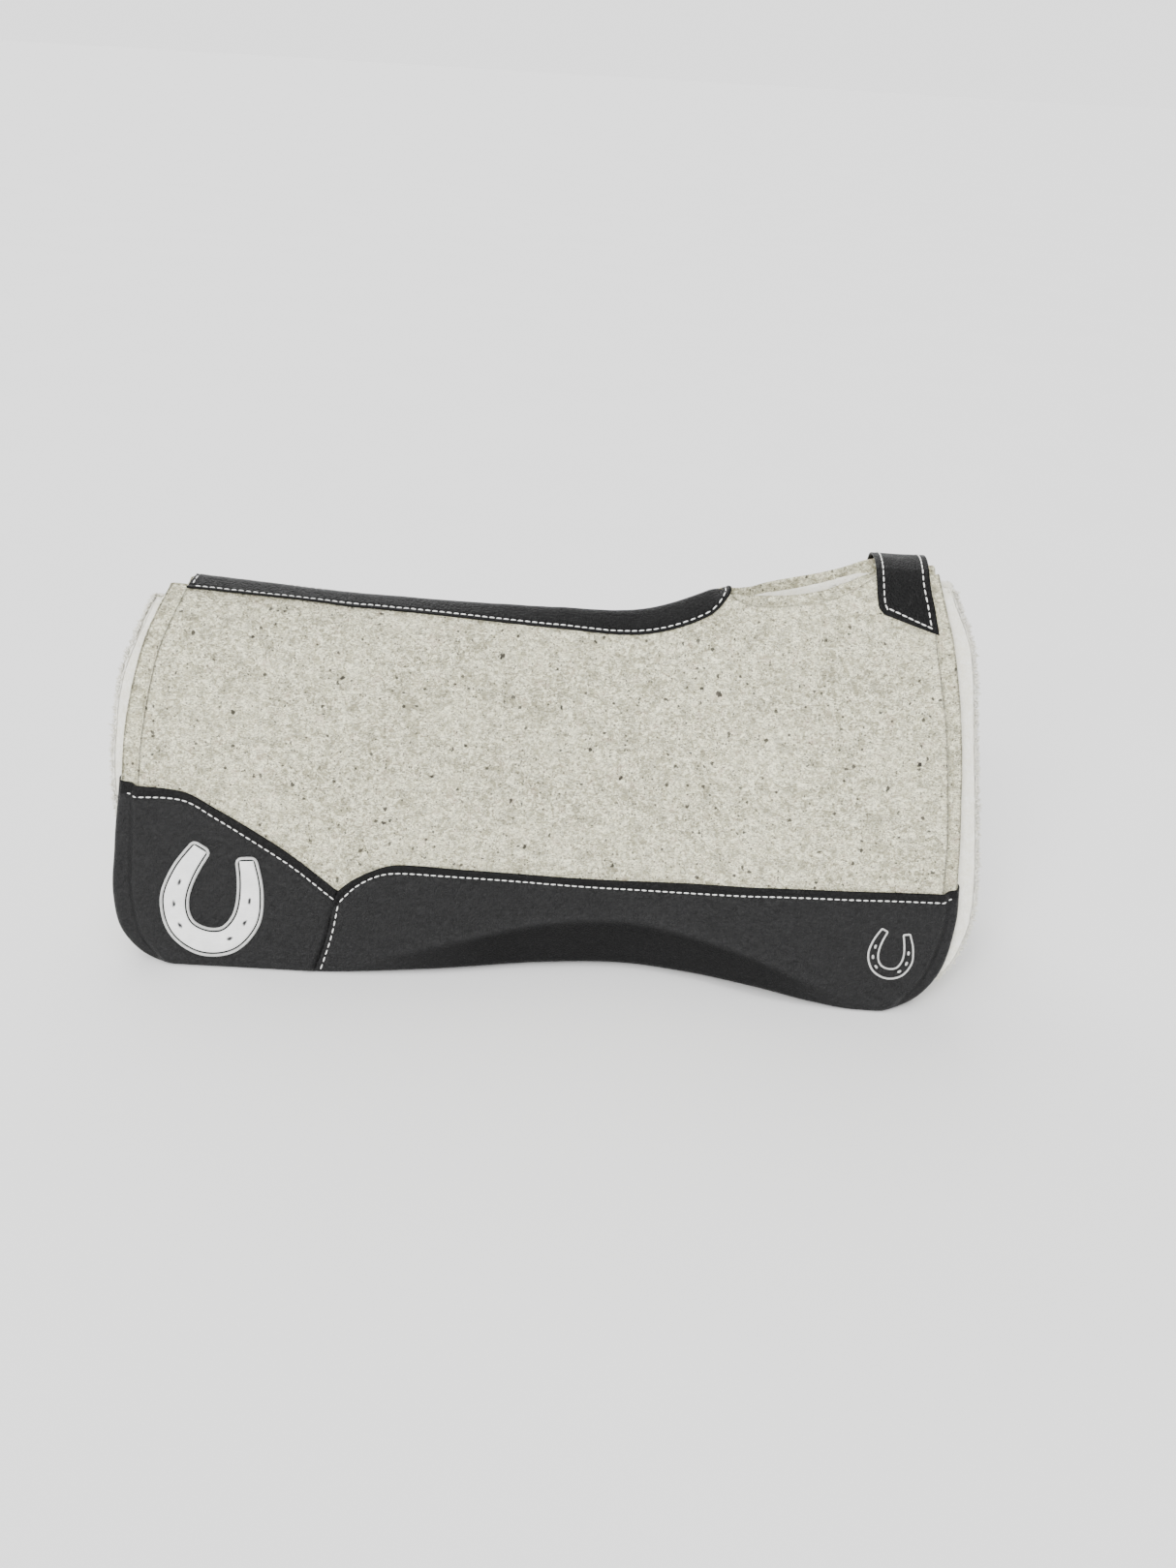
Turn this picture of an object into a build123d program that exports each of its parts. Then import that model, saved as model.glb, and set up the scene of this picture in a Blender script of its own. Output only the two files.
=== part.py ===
from build123d import *

import os
from math import cos, radians, sin, tan

os.makedirs("parts", exist_ok=True)

# A western saddle pad standing on its lower edges like a tent. Millimetres.
# +X points to the front (the withers), -Y is the right side, +Z is up, z = 0 is the resting plane.

# ---------------------------------------------------------------- driving dimensions
SHOULDER_RADIUS = 80.0  # turn from the sloping top into the flank
FLANK_ANGLE = 73.0  # flank, from horizontal
CURL_RADIUS = 45.0  # turn at the crease, where the lower edge curls inwards

OUTER_FELT = (0.0, 7.6)  # each layer runs from its outer depth to its inner depth
INNER_FELT = (8.0, 19.6)
FLEECE = (20.2, 32.0)
LEATHER = (-2.4, -0.4)
TRIM_LEATHER = (-3.4, -0.9)
EMBLEM = (-3.7, -2.8)

FIT_GAP = 0.4  # room between the felt's edge and the leather wrapped round it
WRAP = 2.6  # from the felt's edge to the outside of the leather
SEAM_GAP = 0.3  # half of the gap between the two sides at the seam
CLOSING_RELIEF = 3.2  # degrees each side leans back from the seam below the hinge
OPENING_RELIEF = 18.0  # degrees each side leans back from the seam above the hinge
HINGE_REAR = (-380.0, 334.0)  # x and z of two points of the hinge line
HINGE_FRONT = (340.0, 372.0)

STITCH = (4.6, 1.5, 1.3)  # length, width and height of one visible stitch
STITCH_PITCH = 6.6
STITCH_SINK = 0.7  # how far a stitch sits in its leather

# x of the section, height of the crest, slope of the roof in degrees, length of the straight roof,
# height of the crease, angle of the curl below it in degrees
SECTIONS = [
    (-410, 337, 12, 0, 0, 0),
    (-300, 330, 11.5, 0, 0, 0),
    (-200, 323.5, 11, 0, 6, 0),
    (-100, 321.5, 15, 0, 28, 10),
    (0, 322, 26, 0, 49, 18),
    (80, 325.5, 33, 2, 54, 20),
    (145, 350.5, 37, 10, 48, 18),
    (205, 386, 38, 25, 40, 14),
    (265, 400, 38, 28, 20, 7),
    (330, 402, 38, 28, 4, 0),
    (410, 402, 38, 28, 0, 0),
]
LOFT_STATIONS = [
    -408, -360, -300, -250, -200, -150, -125, -100, -75, -50, -25, 0, 20,
    40, 60, 80, 97, 115, 130, 145, 175, 205, 235, 265, 294, 322, 350, 379, 408,
]
SEAM_OVERRUN = -12.0  # a band starts this far beyond the seam, and is cut back to it
FLOOR_OVERRUN = -24.0  # and ends at this height, and is cut back to its outline
REACH = 260.0  # from the middle plane to past the lower edge, sideways
ROOF_BASE, ROOF_DEPTH = 250.0, 200.0  # a block of this height from this z holds all of the top


# ---------------------------------------------------------------- shape of the pad
def section_value(x, column):
    """A smooth curve along the pad through one column of SECTIONS."""
    knots = [(row[0], row[column]) for row in SECTIONS]
    x = min(max(x, knots[0][0]), knots[-1][0])
    i = max(j for j in range(len(knots) - 1) if knots[j][0] <= x)

    def slope(j):
        (xa, va), (xb, vb) = knots[max(j - 1, 0)], knots[min(j + 1, len(knots) - 1)]
        return (vb - va) / (xb - xa)

    (x0, v0), (x1, v1) = knots[i], knots[i + 1]
    span = x1 - x0
    t = (x - x0) / span
    ends = (2 * t**3 - 3 * t**2 + 1) * v0 + (3 * t**2 - 2 * t**3) * v1
    return ends + span * ((t**3 - 2 * t**2 + t) * slope(i) + (t**3 - t**2) * slope(i + 1))


def section_runs(x):
    """Crest height, and the runs down one side as (length, angle at the start, angle at the end)."""
    crest, roof, straight, crease, curl = [section_value(x, column) for column in range(1, 6)]
    roof, flank, curl = radians(roof), radians(FLANK_ANGLE), radians(max(curl, 0))
    straight = max(straight, 0)
    turn_end = crest - straight * sin(roof) - SHOULDER_RADIUS * (cos(roof) - cos(flank))
    bend = CURL_RADIUS * curl
    side = (turn_end - crease) / sin(flank) - bend / 2
    return crest, [
        (straight, roof, roof),
        (SHOULDER_RADIUS * (flank - roof), roof, flank),
        (side, flank, flank),
        (bend, flank, flank + curl),
        (500.0, flank + curl, flank + curl),
    ]


def skin(x, down, depth=0.0):
    """The right side at x, that far down the surface from the seam and that deep: y, z and angle there."""
    crest, runs = section_runs(x)
    if down <= 0:
        angle = runs[0][1]
        y, z = down * cos(angle), crest - down * sin(angle)
    else:
        y, z, left = 0.0, crest, down
        for length, start, end in runs:
            step = min(left, length)
            angle = start
            if end > start and length > 0:
                radius = length / (end - start)
                angle = start + step / radius
                y += radius * (sin(angle) - sin(start))
                z -= radius * (cos(start) - cos(angle))
            else:
                y += step * cos(angle)
                z -= step * sin(angle)
            left -= step
            if left <= 0:
                break
    return -(y - depth * sin(angle)), z - depth * cos(angle), angle


def down_where(x, test, depth):
    """How far down the surface test(y, z) stops being true."""
    low, high = 0.0, 520.0
    for _ in range(40):
        middle = (low + high) / 2
        y, z, _ = skin(x, middle, depth)
        if test(y, z):
            low = middle
        else:
            high = middle
    return low


def edge_points(x, depth, top, bottom, count=17):
    """Points down the surface at one depth, as (y, z) pairs."""
    steps = [top + (bottom - top) * i / (count - 1) for i in range(count)]
    return [skin(x, down, depth)[:2] for down in steps]


def section_spline(points, shares=None):
    """A spline through (y, z) points at fixed shares of every section's line, which keeps a loft light."""
    if shares is None:
        shares = [i / (len(points) - 1) for i in range(len(points))]
    return Edge.make_spline([Vector(*point) for point in points], parameters=shares)


def band(depths, stations=LOFT_STATIONS):
    """The right side between two depths, oversize at the seam and at the lower edge."""
    with BuildPart() as blank:
        for x in stations:
            bottom = down_where(x, lambda y, z: z > FLOOR_OVERRUN, 0)
            with BuildSketch(Plane.YZ.offset(x)):
                with BuildLine():
                    outer = section_spline(edge_points(x, depths[0], SEAM_OVERRUN, bottom))
                    inner = section_spline(edge_points(x, depths[1], SEAM_OVERRUN, bottom))
                    add([outer, inner])
                    Line(outer @ 0, inner @ 0)
                    Line(outer @ 1, inner @ 1)
                make_face()
        loft()
    return blank.part


# ---------------------------------------------------------------- outlines, as (x, z) seen from the side
TOP = 440
OUTER_RISE = 0.4  # the outer felt ends this much above the inner one
FELT_BOTTOM = [(-216, WRAP), (-120, 5.5), (-30, 6.5), (60, 6.5), (140, 7.5), (205, 10.5), (255, 6),
               (296, WRAP)]
OUTER_BOTTOM = [(x, z + OUTER_RISE) for x, z in FELT_BOTTOM]

OUTER_REAR = [(-337, 345), (-345, 321), (-362, 275), (-374, 205), (-376.5, 150), (-376.5, 100)]
OUTER_REAR_CORNER = [(-376.5, 100), (-372, 62), (-354, 22), (-318, WRAP + OUTER_RISE)]
OUTER_FRONT_CORNER = [(308, WRAP + OUTER_RISE), (345, 24), (364, 60), (370.5, 105)]
OUTER_FRONT = [(370.5, 105), (370, 160), (361, 250), (353, 291), (345, 327), (337, 372), (332, 410)]

INNER_REAR = [(-350, 345), (-361, 324), (-379, 274), (-391, 212), (-393.5, 150), (-393.5, 100)]
INNER_REAR_CORNER = [(-393.5, 100), (-389, 50), (-371, 19), (-334, WRAP)]
INNER_FRONT_CORNER = [(314, WRAP), (343, 12), (368, 38), (381.5, 80), (384, 112)]
INNER_FRONT = [(384, 112), (383, 162), (376, 249), (363, 321), (351, 360), (338, 410)]

FLEECE_REAR = [(-366, 345), (-380, 300), (-399, 250), (-405, 190), (-403, 140), (-394, 95)]
FLEECE_REAR_CORNER = [(-394, 95), (-386, 42), (-368, 18), (-334, 5)]
FLEECE_BOTTOM = [(-305, 5), (-120, 9), (60, 11), (205, 14), (255, 9), (290, 5)]
FLEECE_FRONT_CORNER = [(308, 5), (345, 8), (381, 27), (400, 62), (405, 95)]
FLEECE_FRONT = [(405, 95), (403, 140), (392, 245), (382, 319), (363, 362), (350, 410)]

REAR_LEATHER_TOP = [(-334, 158.5), (-303, 145), (-262, 124), (-229, 105), (-187, 76)]
FRONT_LEATHER_TOP = [(-186.2, 76), (-172, 88), (-143, 100.5), (-120, 102), (-70, 98.5), (22, 92),
                     (78, 91), (145, 96),
                     (219, 106), (312, 110), (384, 112.5)]
LEATHER_SEAM = [(-187, 76), (-195, 33), (-205, 4)]
LEATHER_GAP = 0.8  # between the rear and the front leather at the seam
LEATHER_ENDS = (-430, 430)  # x beyond both ends of the pad
TOP_EDGE_RISE = 2.5  # how much higher a leather's top edge is at LEATHER_ENDS than at its last point
OUTER_SKIRT = 14.0  # depth to which the leather follows the outer felt's edge
SKIN_ROOM = 0.3  # room between the outer felt's inner face and the leather that steps down past it

# half the opening at the withers, as (x, y) seen from above
OUTER_RIM = [(150, 3), (157, -8), (169, -21), (187, -32), (213, -39), (245, -40), (268, -35),
             (286, -27), (304, -22)]
INNER_RIM = [(160, 3), (168, -5), (184, -15), (208, -24), (238, -26), (264, -21), (282, -15), (300, -13)]
FLEECE_RIM = [(164, 3), (172, -2), (188, -11), (210, -19), (238, -21), (262, -16), (280, -11), (300, -9)]
FRONT_END = 430

SPINE_LEATHER_EDGE = [(-341, -21), (-250, -19.5), (-150, -19), (-60, -20.5), (60, -21.5), (120, -23),
                      (142, -22)]
SPINE_LEATHER_NOSE = [(154, -13), (158, 0)]  # its rounded front end
SPINE_LEATHER_TAIL = (-337, 0)  # the middle of its rear end
STRAP_LEFT, STRAP_RIGHT = 286, 334
# x, z round its lower end
STRAP_OUTLINE = [(286, 379), (289, 356), (294, 351), (346, 336), (340, 356), (334, 384)]
STRAP_STATIONS = [272, 300, 318, 336, 360]  # x of the sections that its solid is lofted through
STRAP_RUN = (124, 108, 92, 78, 64, 50, 38, 28)  # distances from the seam of the points of the strap's section
STRAP_CROWN = 4.5  # how far the strap rises from the felt's rim to the middle of the gap


DOWN, ALONG, UP = (0, -1), (1, 0), (0, 1)


def shifted(points, start, end, grow):
    """A spline's points moved sideways, to the right of its run; start and end are its directions there."""
    if not grow:
        return points
    line = Edge.make_spline([Vector(*point) for point in points], tangents=[Vector(*start), Vector(*end)])
    count = 3 * len(points)
    moved = []
    for i in range(count + 1):
        place, run = line.position_at(i / count), line.tangent_at(i / count)
        moved.append((place.X + run.Y * grow, place.Y - run.X * grow))
    return moved


def side_outline(rear, rear_corner, bottom, front_corner, front, grow=0.0):
    """One layer's outline seen from the side, grown by that much, and closed far above the pad."""
    rear_start = (rear[1][0] - rear[0][0], rear[1][1] - rear[0][1])
    front_end = (front[-1][0] - front[-2][0], front[-1][1] - front[-2][1])
    runs = [
        (rear, rear_start, DOWN),
        (rear_corner, DOWN, ALONG),
        (bottom, ALONG, ALONG),
        (front_corner, ALONG, UP),
        (front, UP, front_end),
    ]
    with BuildSketch(Plane.XZ) as outline:
        with BuildLine():
            lines = [Spline(*shifted(*run, grow), tangents=run[1:]) for run in runs]
            Line(lines[1] @ 1, lines[2] @ 0)
            Line(lines[2] @ 1, lines[3] @ 0)
            first, last = lines[0] @ 0, lines[4] @ 1
            Polyline(last, (last.X, TOP), (first.X, TOP), first)
        make_face()
    return outline.sketch


def layer(depths, runs, grow=0.0, region=None):
    """The part of a band inside an outline grown by that much, and inside a region where one is given."""
    blank = band(depths)
    outline = side_outline(*runs, grow)
    with BuildPart() as cut:
        add(blank)
        with BuildSketch(Plane.XZ):
            add(outline)
            if region:
                add(region, mode=Mode.INTERSECT)
        extrude(amount=REACH, mode=Mode.INTERSECT)
    return cut.part


def opening(rim):
    """The right half of the opening at the withers and of the gap in front of it, as a tall block."""
    with BuildPart() as block:
        with BuildSketch(Plane.XY.offset(ROOF_BASE)):
            with BuildLine():
                Spline(*rim)
                Polyline(rim[-1], (FRONT_END, rim[-1][1]), (FRONT_END, rim[0][1]), rim[0])
            make_face()
        extrude(amount=ROOF_DEPTH)
    return block.part


def seam_relief():
    """The wedge the right side leans back from, with its apex on the hinge line."""
    run = HINGE_FRONT[0] - HINGE_REAR[0]
    rise = HINGE_FRONT[1] - HINGE_REAR[1]
    before, above, below, beyond, length = 60, 60, 400, 40, 900
    start = (HINGE_REAR[0] - before, 0, HINGE_REAR[1] - before * rise / run)
    across = Plane(origin=start, x_dir=(0, 1, 0), z_dir=(run, 0, rise))
    with BuildPart() as wedge:
        with BuildSketch(across):
            with BuildLine():
                Polyline(
                    (-SEAM_GAP, 0),
                    (-SEAM_GAP - above * tan(radians(OPENING_RELIEF)), above),
                    (beyond, above),
                    (beyond, -below),
                    (-SEAM_GAP - below * tan(radians(CLOSING_RELIEF)), -below),
                    close=True,
                )
            make_face()
        extrude(amount=length)
    return wedge.part


def panel(depths, runs, rim, label):
    """A felt or fleece panel of the right side."""
    blank = layer(depths, runs)
    hole = opening(rim)
    with BuildPart() as piece:
        add(blank)
        add(hole, mode=Mode.SUBTRACT)
        add(SEAM_WEDGE, mode=Mode.SUBTRACT)
    piece.part.label = label
    return piece.part


# ---------------------------------------------------------------- wear leathers
def leather_region(top, end, outer_x, seam):
    """What lies below a leather's top edge and on its side of the seam; end is the top edge's outer end."""
    corner = seam[-1]
    with BuildSketch(Plane.XZ) as region:
        with BuildLine():
            Spline(*top)
            Spline(*seam)
            Polyline(
                corner,
                (corner[0], FLOOR_OVERRUN),
                (outer_x, FLOOR_OVERRUN),
                (outer_x, end[1] + TOP_EDGE_RISE),
                end,
            )
        make_face()
    return region.sketch


def wear_leather(region, label):
    """The leather of the lower edge: over both felts, down the step between them and round their edges."""
    over_outer = layer((LEATHER[0], OUTER_SKIRT), OUTER_RUNS, WRAP, region)
    over_inner = layer((INNER_FELT[0] + LEATHER[0], INNER_FELT[1]), INNER_RUNS, WRAP, region)
    with BuildPart() as step_skin:
        add(over_inner)
        add(INNER_ROOM, mode=Mode.SUBTRACT)
        add(OUTER_ROOM, mode=Mode.SUBTRACT)
    with BuildPart() as piece:
        add(over_outer)
        add(INNER_ROOM, mode=Mode.SUBTRACT)
        add(OUTER_ROOM, mode=Mode.SUBTRACT)
        add(step_skin.part)
    piece.part.label = label
    return piece.part


# ---------------------------------------------------------------- leather over the spine and the withers
def bridge_lines(x, down, top):
    """A strip's outer and inner line across the seam at x, as (y, z) points; top(x, depth) is its height."""
    lines = []
    for depth in TRIM_LEATHER:
        right = [skin(x, d, depth)[:2] for d in down]
        left = [(-y, z) for y, z in reversed(right)]
        lines.append([*right, (0, top(x, depth)), *left])
    return lines


def bridging_strip(stations, down, top):
    """A strip of leather that bridges the gap from one side to the other."""
    half_shares = [0.5 - d / down[0] / 2 for d in down]
    shares = [*half_shares, 0.5, *[1 - share for share in reversed(half_shares)]]
    with BuildPart() as strip:
        for x in stations:
            outer_points, inner_points = bridge_lines(x, down, top)
            with BuildSketch(Plane.YZ.offset(x)):
                with BuildLine():
                    outer = section_spline(outer_points, shares)
                    inner = section_spline(inner_points, shares)
                    add([outer, inner])
                    Line(outer @ 0, inner @ 0)
                    Line(outer @ 1, inner @ 1)
                make_face()
        loft()
    return strip.part


def make_spine_leather():
    """The strip over the seam: its right half and that half's mirror image, which meet in a ridge."""
    blank = band(TRIM_LEATHER)
    edge = SPINE_LEATHER_EDGE
    nose = [edge[-1], *SPINE_LEATHER_NOSE]
    with BuildPart() as spine_leather:
        add(blank)
        with BuildSketch(Plane.XY.offset(ROOF_BASE)):
            with BuildLine():
                Spline(*edge)
                Spline(*nose)
                Polyline(nose[-1], SPINE_LEATHER_TAIL, edge[0])
            make_face()
        extrude(amount=ROOF_DEPTH, mode=Mode.INTERSECT)
        mirror(about=Plane.XZ)
    spine_leather.part.label = "spine_leather"
    return spine_leather.part


def strap_top(x, depth):
    """Height of the strap in the middle of the gap that it bridges."""
    return skin(x, STRAP_RUN[-1], depth)[1] + STRAP_CROWN


def make_wither_strap():
    """The strap over the gap, with its slanting lower ends."""
    blank = bridging_strip(STRAP_STATIONS, STRAP_RUN, strap_top)
    with BuildPart() as wither_strap:
        add(blank)
        with BuildSketch(Plane.XZ):
            with BuildLine():
                Polyline((STRAP_LEFT, TOP), *STRAP_OUTLINE, (STRAP_RIGHT, TOP), close=True)
            make_face()
        extrude(amount=REACH, both=True, mode=Mode.INTERSECT)
    wither_strap.part.label = "wither_strap"
    return wither_strap.part


# ---------------------------------------------------------------- emblems: a plain horseshoe
BIG_SHOE, SMALL_SHOE = 47.0, 22.0  # half the height of each
BIG_SHOE_PLACE = ((-362, -244), (-303, 62), -12)  # x of its blank's ends, x and z of the middle, tilt in degrees
SMALL_SHOE_PLACE = ((296, 356), (326, 55), -8)
SHOE_OUTER = [(0, -1), (0.62, -0.78), (0.93, -0.22), (0.86, 0.38), (0.6, 0.95)]
SHOE_INNER = [(0.33, 0.87), (0.5, 0.32), (0.52, -0.16), (0.34, -0.5), (0, -0.6)]
BIG_EDGING, SMALL_EDGING = (3.2, 0.9), (0.8, -0.8)  # growths of the outline between which the satin line runs
BIG_NAIL_HOLE = (BIG_SHOE, 6.5, 3.2)  # shoe, length and width
SMALL_NAIL_MARK = (3.4, 1.2, 0.8)  # length, width and height of the thread that stands for each nail
NAILS = [(0.5, -0.62, 38), (0.72, -0.25, 75), (0.71, 0.18, 98)]  # x, z and tilt in degrees of each nail hole


def horseshoe(size, grow=0.0):
    """A horseshoe with its heels up and no nail holes, grown by that much all round."""
    outer_run = ([(x * size, z * size) for x, z in SHOE_OUTER], (1, 0), (-0.5, 1))
    inner_run = ([(x * size, z * size) for x, z in SHOE_INNER], (0.4, -1), (-1, 0))
    with BuildSketch() as shoe:
        with BuildLine():
            outer = Spline(*shifted(*outer_run, grow), tangents=outer_run[1:])
            inner = Spline(*shifted(*inner_run, grow), tangents=inner_run[1:])
            heel = [outer @ 1, outer @ 1 + (outer % 1) * grow, inner @ 0 - (inner % 0) * grow, inner @ 0]
            if grow:
                Polyline(*heel)
            else:
                Line(heel[0], heel[-1])
            Line(inner @ 1, outer @ 0)
        make_face()
        mirror(about=Plane.YZ)
    return shoe.sketch


def nail_holes(size, length, width):
    """The six nail holes of a horseshoe."""
    with BuildSketch() as holes:
        for x, z, tilt in NAILS:
            for side in (-1, 1):
                with Locations(Location((side * x * size, z * size), side * tilt)):
                    SlotOverall(length, width)
    return holes.sketch


def edging(size, outside, inside):
    """A line round a horseshoe, from one growth of its outline to another."""
    with BuildSketch() as line:
        add(horseshoe(size, outside))
        add(horseshoe(size, inside), mode=Mode.SUBTRACT)
    return line.sketch


def emblem(shape, span, center, tilt, label):
    """A flat shape laid on the wear leather, raised a little above it; span holds the x of its blank's ends."""
    thin = band(EMBLEM, span)
    with BuildPart() as piece:
        add(thin)
        with BuildSketch(Plane.XZ):
            with Locations(Location(center, tilt)):
                add(shape)
        extrude(amount=REACH, mode=Mode.INTERSECT)
    piece.part.label = label
    return piece.part


def front_emblem():
    """The small horseshoe: a satin outline, and a short satin bar for each nail."""
    span, center, tilt = SMALL_SHOE_PLACE
    depth = (EMBLEM[0] + EMBLEM[1]) / 2
    frames = []
    for x, z, turn in NAILS:
        for side in (-1, 1):
            mark = Location(center, tilt) * Location((side * x * SMALL_SHOE, z * SMALL_SHOE), side * turn)
            middle, end = [(mark * Location((step, 0))).position for step in (0, 1)]
            downs = [down_where(at.X, lambda y, z: z > at.Y, depth) for at in (middle, end)]
            near, far = [Vector(at.X, *skin(at.X, down, depth)[:2]) for at, down in zip((middle, end), downs)]
            out = surface_normal(near.X, downs[0])
            frames.append(Location(Plane(origin=near, x_dir=far - near, z_dir=out)))
    outline = emblem(edging(SMALL_SHOE, *SMALL_EDGING), span, center, tilt, "")
    with BuildPart() as piece:
        add(outline)
        with Locations(*frames):
            Box(*SMALL_NAIL_MARK)
    piece.part.label = "front_emblem_embroidery"
    return piece.part


# ---------------------------------------------------------------- stitches
def surface_normal(x, down):
    """Straight out of the right side's surface."""
    step = 1.0
    low, high = [Vector(x, *skin(x, down + d, 0)[:2]) for d in (step, -step)]
    rear, front = [Vector(x + d, *skin(x + d, down, 0)[:2]) for d in (-step, step)]
    return (high - low).cross(front - rear).normalized()


def stitch_frames(path, depth, seen_from_above=False):
    """A location for each stitch along a path of (x, z), or of (x, y) where it is seen from above."""
    line = Spline(*[Vector(x, 0, other) for x, other in path])
    count = round(line.length / STITCH_PITCH)
    places = []
    for i in range(count):
        at = line.position_at((i + 0.5) / count)
        if seen_from_above:
            down = down_where(at.X, lambda y, z: y > at.Z, depth)
        else:
            down = down_where(at.X, lambda y, z: z > at.Z, depth)
        places.append((Vector(at.X, *skin(at.X, down, depth)[:2]), surface_normal(at.X, down)))
    frames = []
    for i, (place, out) in enumerate(places):
        along = places[min(i + 1, count - 1)][0] - places[max(i - 1, 0)][0]
        frames.append(Location(Plane(origin=place, x_dir=along, z_dir=out)))
    return frames


def stitches(frames, label):
    """Separate stitches, all of one size, as one group."""
    with BuildPart() as group:
        with Locations(*frames):
            Box(*STITCH)
    group.part.label = label
    return group.part


def strap_bridge_frames():
    """A location for each stitch of the two rows where the strap bridges the gap."""
    frames = []
    rim = len(STRAP_RUN) - 1  # this point of the section and the next but one are over the felts' rims
    for x in (STRAP_LEFT + STRAP_ROW_INSET, STRAP_RIGHT - STRAP_ROW_INSET):
        outer_points, _ = bridge_lines(x, STRAP_RUN, strap_top)
        line = Spline(*[Vector(x, y, z) for y, z in outer_points])
        first, last = [line.param_at_point(Vector(x, *outer_points[i])) for i in (rim, rim + 2)]
        for i in range(BRIDGE_STITCHES):
            t = first + (last - first) * (i + 0.5) / BRIDGE_STITCHES
            along = line.tangent_at(t)
            out = Vector(1, 0, 0).cross(along)
            if out.Z < 0:
                out = -out
            place = line.position_at(t) + out * (STITCH[2] / 2 - STITCH_SINK)
            frames.append(Location(Plane(origin=place, x_dir=along, z_dir=out)))
    return frames


def make_seam_thread():
    """The zigzag thread that joins the two sides' outer felts, hidden under the spine leather."""
    frames = []
    for i in range(int((SEAM_THREAD_END - SEAM_THREAD_START) / SEAM_THREAD_PITCH) + 1):
        x = SEAM_THREAD_START + i * SEAM_THREAD_PITCH
        ends = [(x + d, down) for d, down in SEAM_THREAD_SLANT]
        near, far = [Vector(at, *skin(at, down, SEAM_THREAD_DEPTH)[:2]) for at, down in ends]
        out = surface_normal(x, (SEAM_THREAD_SLANT[0][1] + SEAM_THREAD_SLANT[1][1]) / 2)
        for side in (1, -1):
            place, run, up = [Vector(v.X, side * v.Y, v.Z) for v in ((near + far) / 2, far - near, out)]
            frames.append(Location(Plane(origin=place, x_dir=run, z_dir=up)))
    with BuildPart() as thread:
        with Locations(*frames):
            Box(*SEAM_THREAD)
    thread.part.label = "spine_seam_thread"
    return thread.part


# ---------------------------------------------------------------- stitch rows
ON_WEAR_LEATHER = LEATHER[0] - STITCH[2] / 2 + STITCH_SINK  # depth of a stitch's middle
ON_TRIM_LEATHER = TRIM_LEATHER[0] - STITCH[2] / 2 + STITCH_SINK
REAR_ROW = [(-371, 150.5), (-334, 150.5), (-303, 136), (-262, 114), (-229, 95), (-187, 66)]
FRONT_ROW = [(-180, 70), (-172, 79), (-156, 89.5), (-138, 94), (-90, 92.5), (22, 84.5), (78, 83),
             (145, 87), (219, 98),
             (312, 102), (364, 103)]
SEAM_ROW = [(-182.5, 60), (-189.5, 33), (-199, 6)]
SPINE_ROW = [(-335, -17), (-250, -15.5), (-150, -15), (-60, -16.5), (60, -17.5), (118, -19),
             (140, -18), (151, -10)]
SPINE_END_ROW = [(-337, -15), (-337, -9), (-337, -3)]
STRAP_ROWS = [
    [(292, 384), (292.5, 372), (294, 360)],
    [(298, 356), (318, 350), (337, 344)],
    [(336, 350), (331.5, 368), (328, 384)],
]
STRAP_ROW_INSET = 6  # from the strap's edges to its rows of stitches
BRIDGE_STITCHES = 6  # in each row, where the strap bridges the gap
SEAM_THREAD_START, SEAM_THREAD_END = -330, 140  # x of its first and last stitch
SEAM_THREAD = (4.2, 0.9, 0.35)  # length, width and height of one stitch
SEAM_THREAD_SLANT = [(0, 1.2), (2, 5.7)]  # each stitch's ends: x from its start, and distance from the seam
SEAM_THREAD_DEPTH = -0.66
SEAM_THREAD_PITCH = 10.0

# ---------------------------------------------------------------- outlines of the layers
OUTER_RUNS = (OUTER_REAR, OUTER_REAR_CORNER, OUTER_BOTTOM, OUTER_FRONT_CORNER, OUTER_FRONT)
INNER_RUNS = (INNER_REAR, INNER_REAR_CORNER, FELT_BOTTOM, INNER_FRONT_CORNER, INNER_FRONT)
FLEECE_RUNS = (FLEECE_REAR, FLEECE_REAR_CORNER, FLEECE_BOTTOM, FLEECE_FRONT_CORNER, FLEECE_FRONT)
SEAM_WEDGE = seam_relief()
OUTER_ROOM = layer((LEATHER[1], INNER_FELT[0] + SKIN_ROOM), OUTER_RUNS, FIT_GAP)
INNER_ROOM = layer((INNER_FELT[0] + LEATHER[1], FLEECE[0] + WRAP), INNER_RUNS, FIT_GAP)

# ---------------------------------------------------------------- the right side
front_seam = [(x + LEATHER_GAP, z) for x, z in LEATHER_SEAM]
rear_region = leather_region(REAR_LEATHER_TOP, REAR_LEATHER_TOP[0], LEATHER_ENDS[0], LEATHER_SEAM)
front_region = leather_region(FRONT_LEATHER_TOP, FRONT_LEATHER_TOP[-1], LEATHER_ENDS[1], front_seam)
with BuildSketch() as patch:
    add(horseshoe(BIG_SHOE))
    add(nail_holes(*BIG_NAIL_HOLE), mode=Mode.SUBTRACT)

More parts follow.
